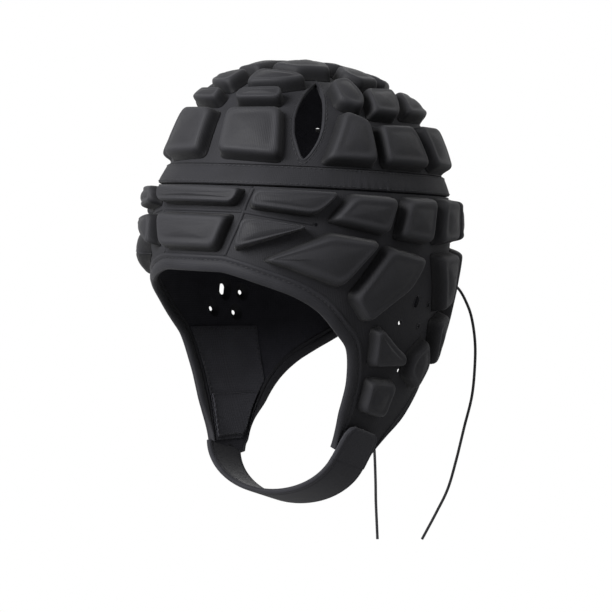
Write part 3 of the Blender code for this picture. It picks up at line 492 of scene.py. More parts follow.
class Graph:
    """Adds nodes to a tree: first a node's settings, then the values or links of its sockets."""

    def __init__(self, tree):
        self.tree = tree

    def node(self, kind, settings=None, values=None, output=0):
        node = self.tree.nodes.new(kind)
        for key, value in (settings or {}).items():
            setattr(node, key, value)
        for key, value in (values or {}).items():
            self.feed(node.inputs[key], value)
        return Signal(self, node.outputs[output]) if len(node.outputs) else None

    def feed(self, socket, value):
        if isinstance(value, Signal):
            self.tree.links.new(value.socket, socket)
        else:
            socket.default_value = value


# ---------------------------------------------------------------- materials
SHEEN_ROUGHNESS = 0.4
# Red and green, then blue, of the dark and of the light colour; pitch of the knit's columns and of
# its rows, and its depth; roughness, sheen, specular
CLOTHS = {
    "pad_fabric": (0.0024, 0.0028, 0.0192, 0.0220, 0.0009, 0.0007, 0.00009, 0.60, 0.05, 0.14),
    "shell_fabric": (0.0098, 0.0113, 0.0172, 0.0198, 0.0011, 0.0008, 0.00008, 0.68, 0.04, 0.11),
    # The two linings' colours are the cloth's own dark, lifted by painted fill light for the light that
    # barely reaches inside the shell
    "lining": (0.0160, 0.0198, 0.0280, 0.0345, 0.0014, 0.0014, 0.00010, 0.80, 0.04, 0.08),
    "brushed_lining_painted_fill": (0.0310, 0.0365, 0.0500, 0.0590, 0.0016, 0.0016, 0.00012, 0.85, 0.06, 0.08),
    "binding_tape": (0.0100, 0.0118, 0.0185, 0.0215, 0.0006, 0.0011, 0.00008, 0.62, 0.04, 0.12),
    "strap_fabric": (0.0135, 0.0158, 0.0230, 0.0272, 0.0010, 0.0008, 0.00009, 0.66, 0.05, 0.12),
    "stretch_mesh": (0.0045, 0.0052, 0.0105, 0.0120, 0.0022, 0.0022, 0.00030, 0.75, 0.04, 0.08),
    "hook_and_loop": (0.0045, 0.0052, 0.0120, 0.0130, 0.0007, 0.0007, 0.00030, 0.90, 0.08, 0.06),
    "thread": (0.0110, 0.0125, 0.0220, 0.0245, 0.0004, 0.0004, 0.00004, 0.52, 0.05, 0.18),
}


class Finish(Graph):
    """One material. Varying values reach only colour, roughness and bump."""

    def __init__(self, name, roughness, specular, sheen):
        self.material = bpy.data.materials.new(name)
        self.material.use_nodes = True
        super().__init__(self.material.node_tree)
        self.shader = self.tree.nodes["Principled BSDF"]
        constants = {
            "Roughness": roughness, "Specular IOR Level": specular, "Sheen Weight": sheen,
            "Sheen Roughness": SHEEN_ROUGHNESS,
        }
        for key, value in constants.items():
            self.feed(self.shader.inputs[key], value)

    def weave(self):
        """The piece's own two directions, in metres."""
        uv = self.node("ShaderNodeUVMap", {"uv_map": "weave"})
        along = self.node("ShaderNodeSeparateXYZ", None, {0: uv})
        return along, along.output(1)

    def noise(self, scale, detail):
        where = self.node("ShaderNodeTexCoord", output=3)
        return self.node("ShaderNodeTexNoise", None, {"Vector": where, "Scale": scale, "Detail": detail})

    def colour(self, dark, light, share):
        """Mixes two colours, each given as its red and green and its blue."""
        values = {0: share, 6: (dark[0], *dark, 1.0), 7: (light[0], *light, 1.0)}
        mixed = self.node("ShaderNodeMix", {"data_type": "RGBA"}, values, output=2)
        self.feed(self.shader.inputs["Base Color"], mixed)

    def roughen(self, value):
        self.feed(self.shader.inputs["Roughness"], value)

    def bump(self, height, distance):
        slope = self.node("ShaderNodeBump", None, {"Height": height, "Distance": distance})
        self.feed(self.shader.inputs["Normal"], slope)


def knit(finish, wale, course):
    """Height of a knit: columns of loops whose rows are shifted from column to column."""
    along, across = finish.weave()
    columns = (along * (2 * math.pi / wale)).sine()
    rows = (across * (2 * math.pi / course) + columns * 0.9).sine()
    return (columns * 0.5 + 0.5) * 0.6 + (rows * 0.5 + 0.5) * 0.4


def cloth_finish(name):
    """Knitted cloth; the pads' has painted shade on their walls and feet and a painted highlight on
    their rims.
    """
    *tints, wale, course, depth, roughness, sheen, specular = CLOTHS[name]
    finish = Finish(name, roughness, specular, sheen)
    loops = knit(finish, wale, course)
    patches = finish.noise(60.0, 4.0)
    grain = finish.noise(1400.0, 2.0)
    share = (patches * 0.55 + loops * 0.25 + grain * 0.35).clamped(0.25, 0.85)
    if name == "pad_fabric":
        # Painted shade at the pads' feet and walls and a painted highlight at their rims, read from the
        # mesh
        painted_light = finish.node("ShaderNodeAttribute", {"attribute_name": "painted_shading"}, output=2)
        share = share * 0.25 + painted_light * 0.75
    finish.colour(tints[:2], tints[2:], share)
    finish.roughen(roughness - 0.10 + patches * 0.20)
    finish.bump(loops + grain * 0.8 + patches * 1.6, depth)
    return finish.material


def lace_finish():
    """Braided cord: two sets of strands that cross."""
    lace = Finish("lace_cord", 0.5, 0.20, 0.03)
    along, round_it = lace.weave()
    along, round_it = along * 3200.0, round_it * 3300.0
    braid = (along + round_it).sine() * (along - round_it).sine()
    lace.colour((0.004, 0.005), (0.016, 0.018), (braid * 0.5 + 0.5).clamped(0.1, 0.9))
    lace.roughen(0.45 + braid * 0.08)
    lace.bump(braid, 0.00010)
    return lace.material


MATERIALS = {name: cloth_finish(name) for name in CLOTHS}
MATERIALS["lace_cord"] = lace_finish()


def place(piece, slot, *nodes, fill=None, body=BODY):
    """Finishes a piece: it rides on a body, and stands for the nodes that it replaces."""
    if nodes:
        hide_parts(*nodes)
    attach(piece, body)
    return piece


# ---------------------------------------------------------------- camera
PHOTO_SIZE = 612
VIEW_TURN, VIEW_RISE, VIEW_DISTANCE = 38.0, 5.0, 1.300
VIEW_TARGET = Vector((0.0, 0.0, -0.138))
METRES_PER_PIXEL = 0.000617
SENSOR_WIDTH = 36.0
# Pixels by which the photograph's middle lies off the target
SHIFT_RIGHT, SHIFT_UP = 3, -6


def aim(item, turn, rise, distance):
    """Links a camera or light at an azimuth and elevation round the guard, aimed at its middle."""
    turn, rise = math.radians(turn), math.radians(rise)
    back = Vector((math.sin(turn) * math.cos(rise), -math.cos(turn) * math.cos(rise), math.sin(rise)))
    item.location = VIEW_TARGET + back * distance
    item.rotation_mode = "QUATERNION"
    item.rotation_quaternion = (-back).to_track_quat("-Z", "Y")
    bpy.context.scene.collection.objects.link(item)


def make_camera():
    data = bpy.data.cameras.new("photo_camera")
    data.sensor_width = SENSOR_WIDTH
    data.lens = SENSOR_WIDTH * VIEW_DISTANCE / (METRES_PER_PIXEL * PHOTO_SIZE)
    data.shift_x, data.shift_y = SHIFT_RIGHT / PHOTO_SIZE, SHIFT_UP / PHOTO_SIZE
    data.clip_start, data.clip_end = 0.05, 50.0
    camera = bpy.data.objects.new("photo_camera", data)
    aim(camera, VIEW_TURN, VIEW_RISE, VIEW_DISTANCE)
    bpy.context.scene.camera = camera


make_camera()


# ---------------------------------------------------------------- laces
def lacing_points():
    """Up through the eyelets from side to side, and down again over the crossings."""
    last = len(EYELET_LEVELS) - 1
    up_side = [(level, (-1.0) ** step) for step, level in enumerate(reversed(EYELET_LEVELS))]
    down_side = [(level, -side) for level, side in reversed(up_side)]
    places = [(LACE_LEAD[1], LACE_LEAD[0], LACE_LIFT * 2)]
    for strand, lift in ((up_side, LACE_LIFT), (down_side, LACE_CROSSING_LIFT)):
        for index, (level, side) in enumerate(strand):
            places.append((level, 180.0 - side * (180.0 - EYELET_AZIMUTH), LACE_LIFT))
            if index < last:
                places.append(((level + strand[index + 1][0]) / 2, 180.0, lift))
    places.append((LACE_LEAD[1], 360.0 - LACE_LEAD[0], LACE_LIFT * 2))
    level, azimuth, lift = np.array(places).T
    return shell(azimuth, level, lift)


def make_laces():
    lacing = lacing_points()
    routes = (
        ("lace_end_left", lacing[0], LACE_LEFT_ROUTE), ("lace_end_right", lacing[-1], LACE_RIGHT_ROUTE),
    )
    for name, start, route in routes:
        path = catmull(start + np.array(route), 150)
        mesh = tube_mesh(name, path, LACE_DIAMETER / 2, 12)
        cord = place(link("hanging_" + name, mesh, MATERIALS["lace_cord"]), "lace_cord", name)
    mesh = tube_mesh("lacing", catmull(lacing, 320), LACE_DIAMETER / 2)
    place(link("lacing", mesh, MATERIALS["lace_cord"]), "lace_cord", "lace_rows")


make_laces()


# ---------------------------------------------------------------- pads
class PadPlan:
    """Flat plan of an outline on the shell, in metres."""

    def __init__(self, corners):
        self.polar = min(level for _, level in corners) < POLAR_LEVEL
        flat = np.array([self.to_plan(*corner) for corner in corners])
        self.centre = flat.mean(0)
        step = 0.02
        here = self.surface(self.centre)
        across = np.linalg.norm(self.surface(self.centre + (step, 0.0)) - here) / step
        along = np.linalg.norm(self.surface(self.centre + (0.0, step)) - here) / step
        self.scale = np.array((across, along))
        self.corners = (flat - self.centre) * self.scale
        if self.area() < 0:
            self.corners = self.corners[::-1]

    def to_plan(self, azimuth, level):
        turn = math.radians(azimuth)
        if self.polar:
            return level * math.sin(turn), level * math.cos(turn)
        return turn, level

    def surface(self, plan, offset=0.0):
        plan = np.asarray(plan, float)
        if self.polar:
            azimuth = np.degrees(np.arctan2(plan[..., 0], plan[..., 1]))
            return shell(azimuth, np.maximum(np.linalg.norm(plan, axis=-1), POLE_LEVEL), offset)
        return shell(np.degrees(plan[..., 0]), plan[..., 1], offset)

    def place(self, metres, offset):
        return self.surface(np.asarray(metres) / self.scale + self.centre, offset)

    def area(self):
        after = np.roll(self.corners, -1, 0)
        return float((self.corners[:, 0] * after[:, 1] - after[:, 0] * self.corners[:, 1]).sum() / 2)

    def sides(self):
        return np.linalg.norm(np.roll(self.corners, -1, 0) - self.corners, axis=1)

    def inset(self, distance):
        into = unit(self.corners - np.roll(self.corners, 1, 0))
        out = np.roll(into, -1, 0)
        first = np.stack([-into[:, 1], into[:, 0]], -1)
        second = np.stack([-out[:, 1], out[:, 0]], -1)
        open_share = np.maximum(1.0 + (first * second).sum(-1), 0.5)[:, None]
        return self.corners + (first + second) * distance / open_share

    def outline(self, distance, radius, pitch):
        """Rounded outline inset by a distance; each side keeps its number of points."""
        corners = self.inset(distance)
        count = len(corners)
        before, after = np.roll(corners, 1, 0) - corners, np.roll(corners, -1, 0) - corners
        lengths = np.linalg.norm(after, axis=1)
        cuts = np.minimum(radius, 0.45 * np.minimum(lengths, np.roll(lengths, 1)))
        points = []
        sides = self.sides()
        for index in range(count):
            corner = corners[index]
            start = corner + unit(before[index]) * cuts[index]
            end = corner + unit(after[index]) * cuts[index]
            for share in (0.0, 0.25, 0.5, 0.75, 1.0):
                rest = 1 - share
                points.append(rest ** 2 * start + 2 * share * rest * corner + share ** 2 * end)
            following = corners[(index + 1) % count]
            goal = following - unit(after[index]) * cuts[(index + 1) % count]
            steps = max(int(round(sides[index] / pitch)) - 1, 1)
            for step in range(1, steps + 1):
                points.append(end + (goal - end) * step / (steps + 1))
        return np.array(points)


# Height over the shell and inset of a pad's wall, shoulder and rim, in metres
PAD_SECTION = np.array((
    (-0.0003, -0.0014), (0.0003, -0.0011), (0.0012, -0.0005), (0.0028, 0.0000), (0.0048, 0.0004),
    (0.0065, 0.0009), (0.0077, 0.0016), (0.0084, 0.0025), (0.0086, 0.0034), (0.0084, 0.0046),
    (0.0083, 0.0058),
))
# Sizes of the rings on a pad's face, as shares of its rim
FACE_RINGS = (0.82, 0.60, 0.36, 0.14)
# Height of the face's sway, and of its two waves the share and the turns per metre both ways
PAD_SWAY = 0.00013
SWAY_WAVES = ((1.0, (130, 120)), (0.6, (270, 250)))
# Painted shade and highlight of the fabric along that section, darkest at the foot and lightest near the
# rim, and its level over the face within it
PAD_PAINTED_SHADING = (0.0, 0.0, 0.05, 0.15, 0.30, 0.50, 0.78, 0.98, 1.0, 0.86, 0.74)
FACE_PAINTED_SHADING = 0.70
PAD_PITCH = 0.0026
# Share of a pad's area over its girth that the section's inset may take
PAD_ROOM = 0.85


def pad_arrays(corners, height):
    """Rings of a pad from foot to face, the same laid out flat, and the face's and foot's middle."""
    plan = PadPlan(corners)
    squeeze = min(1.0, PAD_ROOM * plan.area() / plan.sides().sum() / PAD_SECTION[-1, 1])
    wander = rng.uniform(0, 2 * math.pi, 4).reshape(2, 2)
    section = PAD_SECTION * (height / PAD_HEIGHT, squeeze)
    run = run_of(section)
    rings, spread = [], []
    for (lift, inset), walked in zip(section, run):
        rings.append((plan.outline(inset, PAD_CORNER, PAD_PITCH), lift))
        spread.append(plan.outline(section[-1, 1] - (run[-1] - walked), PAD_CORNER, PAD_PITCH))
    top, top_lift = rings[-1]
    for share in FACE_RINGS:
        rings.append((top * share, top_lift + PAD_CROWN * (1 - share ** 2)))
        spread.append(top * share)
    points = []
    for outline, lift in rings:
        sway = sum(
            share * np.sin(outline * turns + start).prod(-1)
            for (share, turns), start in zip(SWAY_WAVES, wander)
        )
        rise = min(max(lift / height, 0.0), 1.0) ** 2 * PAD_SWAY
        points.append(plan.place(outline, lift + sway * rise))
    tip = plan.place(np.zeros(2), top_lift + PAD_CROWN)
    foot = plan.place(np.zeros(2), PAD_SECTION[0, 0])
    return np.array(points), np.array(spread), tip, foot


def pad_mesh(name, corners, height, mirror):
    rings, spread, tip, foot = pad_arrays(corners, height)
    rows, columns = rings.shape[:2]
    faces, places = grid_faces(rows, columns, True)
    uv = spread[places[:, 0], places[:, 1] % columns]
    points = np.vstack([rings.reshape(-1, 3), tip[None], foot[None]])
    last, apex = (rows - 1) * columns, rows * columns
    for column in range(columns):
        after = (column + 1) % columns
        faces += [(last + column, last + after, apex), (after, column, apex + 1)]
        uv = np.vstack([
            uv, spread[-1, column], spread[-1, after], (0.0, 0.0), spread[0, after], spread[0, column],
            (0.0, 0.0),
        ])
    mesh = build_mesh(name, flip_side(points, mirror), faces, uv, sharp=75.0)
    # Painted shade and highlight at each point, which the pad fabric's colour reads
    painted_shading = np.full((rows, columns), FACE_PAINTED_SHADING)
    painted_shading[:len(PAD_PAINTED_SHADING)] = np.array(PAD_PAINTED_SHADING)[:, None]
    painted_shading = np.append(painted_shading.ravel(), (FACE_PAINTED_SHADING, PAD_PAINTED_SHADING[0])).astype(np.float32)
    mesh.attributes.new("painted_shading", "FLOAT", "POINT").data.foreach_set("value", painted_shading)
    return mesh


def add_pad(name, corners, height, mirror, *nodes):
    pad = link(name, pad_mesh(name, corners, height, mirror), MATERIALS["pad_fabric"])
    smooth = pad.modifiers.new("smooth", "SUBSURF")
    smooth.levels = smooth.render_levels = 1
    bake_modifiers(pad)
    place(pad, "pad_fabric", *nodes, fill=0.85)


def make_pads():
    """All pads; those near the top stand for no node of their own."""
    tables = ((CROWN_PADS, PAD_HEIGHT), (RING_PADS, PAD_HEIGHT), (FLAP_PADS, FLAP_PAD_HEIGHT))
    for name, corners in FRONT_PADS.items():
        add_pad("soft_" + name, corners, PAD_HEIGHT, 1.0, name)
    for side, mirror in SIDES:
        for stem, corners in TOP_PADS.items():
            add_pad(f"{stem}_{side}", corners, PAD_HEIGHT, mirror)
        for table, height in tables:
            for stem, corners in table.items():
                add_pad(f"soft_{stem}_{side}", corners, height, mirror, f"{stem}_{side}")


make_pads()


# ---------------------------------------------------------------- shell panels
RING_STEPS = 28
CUT_REACH = 0.012


def ring_outline(centre, length, width, slant=0.0):
    """Slot or round hole about a place on the shell, as azimuths and levels."""
    plan = PadPlan((centre, (centre[0] + 1, centre[1]), (centre[0], centre[1] + 0.01)))
    turn = 2 * math.pi * (np.arange(RING_STEPS) + 0.5) / RING_STEPS
    straight = (length - width) / 2
    along = np.sin(turn) * width / 2 + np.copysign(straight, np.sin(turn))
    across = np.cos(turn) * width / 2
    lean = math.radians(slant)
    shift_x = across * math.cos(lean) - along * math.sin(lean)
    shift_y = across * math.sin(lean) + along * math.cos(lean)
    azimuth = centre[0] + np.degrees(shift_x / plan.scale[0])
    return np.stack([azimuth, centre[1] + shift_y / plan.scale[1]], -1)


def cutter(name, stacks):
    """Tool of closed solids, each one a stack of rings through the shell."""
    points, faces = [], []
    for rings in stacks:
        start, rows, columns = len(points), len(rings), len(rings[0])
        points += np.vstack(rings).tolist()
        faces += grid_faces(rows, columns, True, start)[0] + cap_faces(rows, columns, start)
    return link(name, build_mesh(name, points, faces))


def through(outline, mirror):
    """The two end rings of a straight hole."""
    return [side_points(outline, offset, mirror) for offset in (-CUT_REACH, CUT_REACH)]


def flared(centre, length, width, slant, mirror):
    """Rings of a hole that opens inwards, so that the light behind it shows at a slant."""
    return [
        side_points(ring_outline(centre, length + 2 * grow, width + 2 * grow, slant), offset, mirror)
        for offset, grow in HOLE_SECTION
    ]


def cut(piece, *tools):
    for tool in tools:
        modifier = piece.modifiers.new("cut", "BOOLEAN")
        modifier.operation, modifier.object, modifier.solver = "DIFFERENCE", tool, "EXACT"
    bake_modifiers(piece)
    piece.data.set_sharp_from_angle(angle=math.radians(45.0))


def drop(*objects):
    for item in objects:
        bpy.data.objects.remove(item, do_unlink=True)


def skin(name, points, uv, closed=False, thickness=SHELL_THICKNESS, outer="shell_fabric", top=None):
    """Grid over the shell, thickened inwards; the inner face takes the lining."""
    rows, columns = points.shape[:2]
    faces, places = grid_faces(rows, columns, closed)
    corner_uv = uv[places[:, 0], places[:, 1]]
    flat = points.reshape(-1, 3)
    if top is not None:
        flat = np.vstack([flat, top])
        for step in range(columns):
            faces.append((len(flat) - 1, (step + 1) % columns, step))
            corner_uv = np.vstack([corner_uv, (0.0, 0.0), uv[0, step + 1], uv[0, step]])
    mesh = build_mesh(name, flat, faces, corner_uv)
    piece = link(name, mesh, MATERIALS[outer], MATERIALS["lining"])
    middle = Vector((0, 0, -LEVEL_DEPTH))
    outward = sum(face.normal.dot(face.center - middle) for face in mesh.polygons)
    if outward < 0:
        mesh.flip_normals()
    solid = piece.modifiers.new("thickness", "SOLIDIFY")
    solid.thickness, solid.offset, solid.use_even_offset = thickness, -1.0, True
    solid.material_offset, solid.material_offset_rim = 1, 0
    return bake_modifiers(piece)


def flat_uv(azimuth, level):
    """Flat directions over the lower shell: round it and down it, in metres."""
    return np.stack([np.radians(azimuth) * FLAT_RADIUS, level * LEVEL_DEPTH], -1)


def vent_curve():
    return catmull(VENT_OUTLINE, 64, closed=True)


def make_crown():
    levels = np.concatenate([np.linspace(0.03, 0.88, 52), [0.893, 0.90]])
    azimuth, level = np.meshgrid(np.linspace(0, 360, 145), levels)
    turn = np.radians(azimuth)
    uv = np.stack([np.sin(turn), np.cos(turn)], -1) * level[..., None] * CROWN_RADIUS
    points = shell(azimuth, level)[:, :-1]
    crown = skin("crown_skin", points, uv, closed=True, top=shell(0.0, POLE_LEVEL))
    holes = vent_curve(), ring_outline(REAR_VENT, REAR_VENT_WIDTH, REAR_VENT_WIDTH)
    tools = [
        cutter("vents_" + side, [through(hole, mirror) for hole in holes]) for side, mirror in SIDES
    ]
    cut(crown, *tools)
    drop(*tools)
    place(crown, "shell_fabric", "crown_shell")


def pucker(azimuth, level):
    """Small gathers where the band is sewn to the ring, on both sides of the head."""
    turned = np.abs((azimuth + 180) % 360 - 180)
    near = np.exp(-((turned - 76) / 16) ** 2) * np.exp(-((level - 0.985) / 0.030) ** 2)
    return near * (np.sin(turned * 1.9) + 0.6 * np.sin(turned * 3.7 + 1.0)) * 0.00040


# Level of each row of the band and its lift off the shell
BAND_SECTION = (
    (0.9030, -0.0012), (0.9035, 0.0), (0.906, 0.0007), (0.912, 0.00100), (0.925, 0.00105),
    (0.940, 0.0011), (0.955, 0.0011), (0.968, 0.0011), (0.978, 0.00105), (0.986, 0.00100),
    (0.991, 0.0007), (0.9925, 0.0), (0.9930, -0.0012),
)
# Degrees by which the brow panel stops short of the side panels
BROW_GAP = 0.16


def make_band():
    """The band, and the tape that covers its two seams from inside."""
    around = np.linspace(-180, 180, 361)
    levels, lifts = np.array(BAND_SECTION).T
    azimuth, level = np.meshgrid(around, levels)
    points = shell(azimuth, level, lifts[:, None] + pucker(azimuth, level))[:, :-1]
    band = skin("band_hoop", points, flat_uv(azimuth, level), closed=True)
    place(band, "shell_fabric", "crown_band")
    azimuth, level = np.meshgrid(around, np.linspace(*SEAM_TAPE_LEVELS, 14))
    points = shell(azimuth, level, -SHELL_THICKNESS - SEAM_GAP)[:, :-1]
    tape = skin("seam_tape", points, flat_uv(azimuth, level), True, SEAM_TAPE_THICKNESS, "lining")
    place(tape, "shell_fabric")


def make_brow():
    level = np.linspace(1.0, BROW_BOTTOM, 30)[:, None]
    azimuth = (monotone(FRONT_EDGE[:3], level) - BROW_GAP) * np.linspace(-1, 1, 41)
    level = np.broadcast_to(level, azimuth.shape)
    brow = skin("brow_cover", shell(azimuth, level), flat_uv(azimuth, level))
    place(brow, "shell_fabric", "brow_panel")


def front_azimuth(level):
    upper = monotone(FRONT_EDGE[:3], np.minimum(level, BROW_BOTTOM))
    lower = monotone(FRONT_EDGE[2:], np.maximum(level, BROW_BOTTOM))
    return np.where(level <= BROW_BOTTOM, upper, lower)


def rear_azimuth(level):
    return monotone(REAR_EDGE, level)


def strap_frame():
    """Middle of the chin seam, and the directions across the strap and up."""
    seam = shell(SEAM_AZIMUTH, SEAM_LEVEL, -SHELL_THICKNESS / 2)
    sine, cosine = math.sin(math.radians(STRAP_TILT)), math.cos(math.radians(STRAP_TILT))
    return seam, np.array((0.0, cosine, -sine)), np.array((0.0, sine, cosine))


# Below the ears a row's level is its share of depth and this much more
LEVEL_LEAD = 0.29


def azimuth_at(along, level):
    _, _, front, rear = np.moveaxis(profile_at(level), -1, 0)
    reach = np.where(along < 0, front, rear)
    return np.degrees(np.arccos(signed_power(-along / reach, section_exponent(level) / 2.0)))


def flap_point(across, rise, offset):
    """Place over the left flap at a distance along the strap's width and up from the chin seam."""
    seam, width, up = strap_frame()
    across, rise = np.broadcast_arrays(np.asarray(across, float), np.asarray(rise, float))
    target = seam + width * across[..., None] + up * rise[..., None]
    depth = -target[..., 2] - target[..., 1] * BROW_RISE / REAR_REACH
    level = depth / LEVEL_DEPTH + LEVEL_LEAD
    return shell(azimuth_at(target[..., 1], level), level, offset)


def tab_offsets():
    low = TAPE_THICKNESS / 2 - SHELL_THICKNESS / 2 + LOOP_PATCH_THICKNESS + SEAM_GAP
    return low, low + STRAP_THICKNESS


def strap_ellipse():
    low, high = tab_offsets()
    left = flap_point(0.0, 0.0, (low + high) / 2)[0]
    right = -flap_point(0.0, 0.0, -SHELL_THICKNESS / 2)[0]
    turn = math.radians(STRAP_START_TURN)
    return (left + right) / 2, (left - right) / 2 / math.cos(turn), STRAP_DROP / (1.0 - math.sin(turn))


def strap_end_lean():
    _, half_span, depth = strap_ellipse()
    return math.atan(half_span * math.tan(math.radians(STRAP_START_TURN)) / depth)


def end_cutter(name, side, rise):
    """Box below the chin seam of one side, whose top face squares the flap's end."""
    seam, _, up = strap_frame()
    bpy.ops.mesh.primitive_cube_add(size=CUT_BOX)
    box = bpy.context.object
    box.name = name
    tilt = Matrix.Rotation(-math.radians(STRAP_TILT), 3, "X")
    lean = Matrix.Rotation(side * strap_end_lean(), 3, "Y")
    box.rotation_euler = (tilt @ lean).to_euler()
    middle = Vector((side * seam[0], seam[1], seam[2])) + Vector(up) * rise
    box.location = middle - (tilt @ lean) @ Vector((0.0, 0.0, CUT_BOX / 2))
    return box


# Level at the ends of three stretches of a side panel, and the number of rows in each
SIDE_STRETCHES = ((1.0, BROW_BOTTOM, 24), (BROW_BOTTOM, 1.56, 18), (1.56, CHIN_LEVEL, 64))


def make_side(side, mirror, end_cut):
    level = np.unique(np.concatenate([np.linspace(*rows) for rows in SIDE_STRETCHES]))[:, None]
    first, last = front_azimuth(level), rear_azimuth(level)
    azimuth = first + (last - first) * np.linspace(0, 1, 81)
    level = np.broadcast_to(level, azimuth.shape)
    points = flip_side(shell(azimuth, level), mirror)
    panel = skin("side_cover_" + side, points, flat_uv(azimuth, level))
    round_holes = (
        (EAR_HOLE_WIDTH, EAR_HOLES), (FLAP_HOLE_WIDTH, FLAP_HOLES[side]),
        (GROOVE_HOLE_WIDTH, (GROOVE_HOLE,)),
    )
    holes = [(EAR_SLOT, EAR_SLOT_LENGTH, EAR_SLOT_WIDTH, EAR_SLOT_SLANT)]
    holes += [(spot, width, width, 0.0) for width, spots in round_holes for spot in spots]
    tools = [
        cutter(f"hole_{number}_{side}", [flared(*hole, mirror)]) for number, hole in enumerate(holes)
    ]
    cut(panel, *tools, end_cut)
    drop(*tools)
    place(panel, "shell_fabric", "side_panel_" + side)


# Sections of the tapes: across from the panel's edge and lift, in metres
FACE_SECTION_TOP = np.array((
    (0.0000, 0.0010), (0.0003, 0.0018), (0.0010, 0.0023), (0.0019, 0.0022), (0.0025, 0.0016),
    (0.0029, 0.0015), (0.0034, 0.0019), (0.0044, 0.0023), (0.0058, 0.0023), (0.0072, 0.0019),
    (0.0082, 0.0012), (0.0086, 0.0004),
))
TAPE_FOLD = 0.0010
TAPE_PITCH = 0.0016
# Where the stitches of the face and neck bindings lie beyond the panel's edge, and their lift
FACE_STITCH, NECK_STITCH, STITCH_LIFT = 0.0022, 0.0017, 0.00165
# Points of a binding's path that its stitches leave free at the chin
CHIN_POINTS = 22


def tape_section(width):
    """Section of a tape that folds over the panel's edge and ends where the CAD's tape ends."""
    stretch = (width + TAPE_GAP + TAPE_FOLD) / FACE_TAPE_WIDTH
    both = np.vstack([FACE_SECTION_TOP, FACE_SECTION_TOP[::-1] * (1, -1)])
    return both * (stretch, 1.0) - (TAPE_FOLD, 0.0)


def tape_frames(path, inward):
    """Points along a panel's edge, with the directions beyond the edge and off the shell."""
    azimuth, level = path[:, 0], path[:, 1]
    points = shell(azimuth, level, -SHELL_THICKNESS / 2)
    normals = shell_normal(azimuth, level)
    run = unit(np.gradient(shell(azimuth, level), axis=0))
    beyond = unit(np.cross(run, normals)) * inward
    for _ in range(3):
        beyond[1:-1] = unit(beyond[:-2] + 2 * beyond[1:-1] + beyond[2:])
    return points, beyond, normals


def even_path(path):
    """Places along the shell at an even pitch."""
    run = run_of(shell(path[:, 0], path[:, 1]))
    where = np.linspace(0, run[-1], int(run[-1] / TAPE_PITCH))
    return np.stack([np.interp(where, run, path[:, axis]) for axis in (0, 1)], -1)


def face_path():
    level = np.linspace(BROW_BOTTOM + 0.004, CHIN_LEVEL, 400)
    left = np.stack([front_azimuth(level), level], -1)
    right = left[::-1] * (-1, 1)
    corner = FRONT_EDGE[2][1]
    brow = np.stack([np.linspace(-corner, corner, 40), np.full(40, BROW_BOTTOM)], -1)
    path = even_path(np.vstack([right, brow, left]))
    for _ in range(6):
        path[1:-1] = (path[:-2] + 2 * path[1:-1] + path[2:]) / 4
    return path


def neck_path():
    level = np.linspace(1.003, CHIN_LEVEL, 500)
    return even_path(np.stack([rear_azimuth(level), level], -1))


NARROWING_START, NARROWING_SPAN, NARROWING_SHARE = 2.30, 0.26, 0.78


def tape_widths(level):
    """Share of a tape's width at a level: it narrows near the chin, where it meets the strap."""
    share = np.clip((level - NARROWING_START) / NARROWING_SPAN, 0.0, 1.0)
    return 1.0 - NARROWING_SHARE * share ** 2 * (3 - 2 * share)


def add_tape(name, node, path, frames, width, stitch, *ends):
    """Binding along a panel's edge, cut off at the chin; returns the line of its stitches."""
    points, beyond, normals = frames
    widths = tape_widths(path[:, 1])
    mesh = section_mesh(name, points, beyond, normals, tape_section(width), widths)
    tape = link(name, mesh, MATERIALS["binding_tape"])
    cut(tape, *ends)
    place(tape, "binding_tape", node)
    return points + beyond * stitch + normals * STITCH_LIFT


def make_bindings(ends):
    """Bindings of the face opening and the neck edge; returns the runs of their stitches."""
    path = face_path()
    frames = tape_frames(path, 1.0)
    line = add_tape(
        "face_tape", "face_binding", path, frames, FACE_TAPE_WIDTH, FACE_STITCH, *ends.values())
    runs = [line[CHIN_POINTS:-CHIN_POINTS]]
    path = neck_path()
    for side, mirror in SIDES:
        frames = [flip_side(values, mirror) for values in tape_frames(path, -1.0)]
        names = "neck_tape_" + side, "neck_binding_" + side
        line = add_tape(*names, path, frames, NECK_TAPE_WIDTH, NECK_STITCH, ends[side])
        runs.append(line[:-CHIN_POINTS])
    return runs


def make_shell():
    """All panels and bindings; returns the runs of the bindings' stitches."""
    ends = {
        "right": end_cutter("right_end", -1.0, SEAM_GAP),
        "left": end_cutter("left_end", 1.0, FLAP_END_RISE),
    }
    make_crown()
    make_band()
    make_brow()
    for side, mirror in SIDES:
        make_side(side, mirror, ends[side])
    runs = make_bindings(ends)
    drop(*ends.values())
    return runs


binding_runs = make_shell()


# ---------------------------------------------------------------- rims of the vents and holes
# Growth of an outline to the middle of its rim, for the larger holes and the ear holes
RIM_GROWTH, EAR_RIM_GROWTH = 0.0006, 0.0005


def rim(name, outline, radius, lift, mirror, material="binding_tape", flat=1.0):
    path, normals = side_points(outline, lift, mirror), side_normals(outline, mirror)
    mesh = tube_mesh(name, path, radius, flat=flat, normals=normals, closed=True)
    place(link(name, mesh, MATERIALS[material]), "binding_tape")


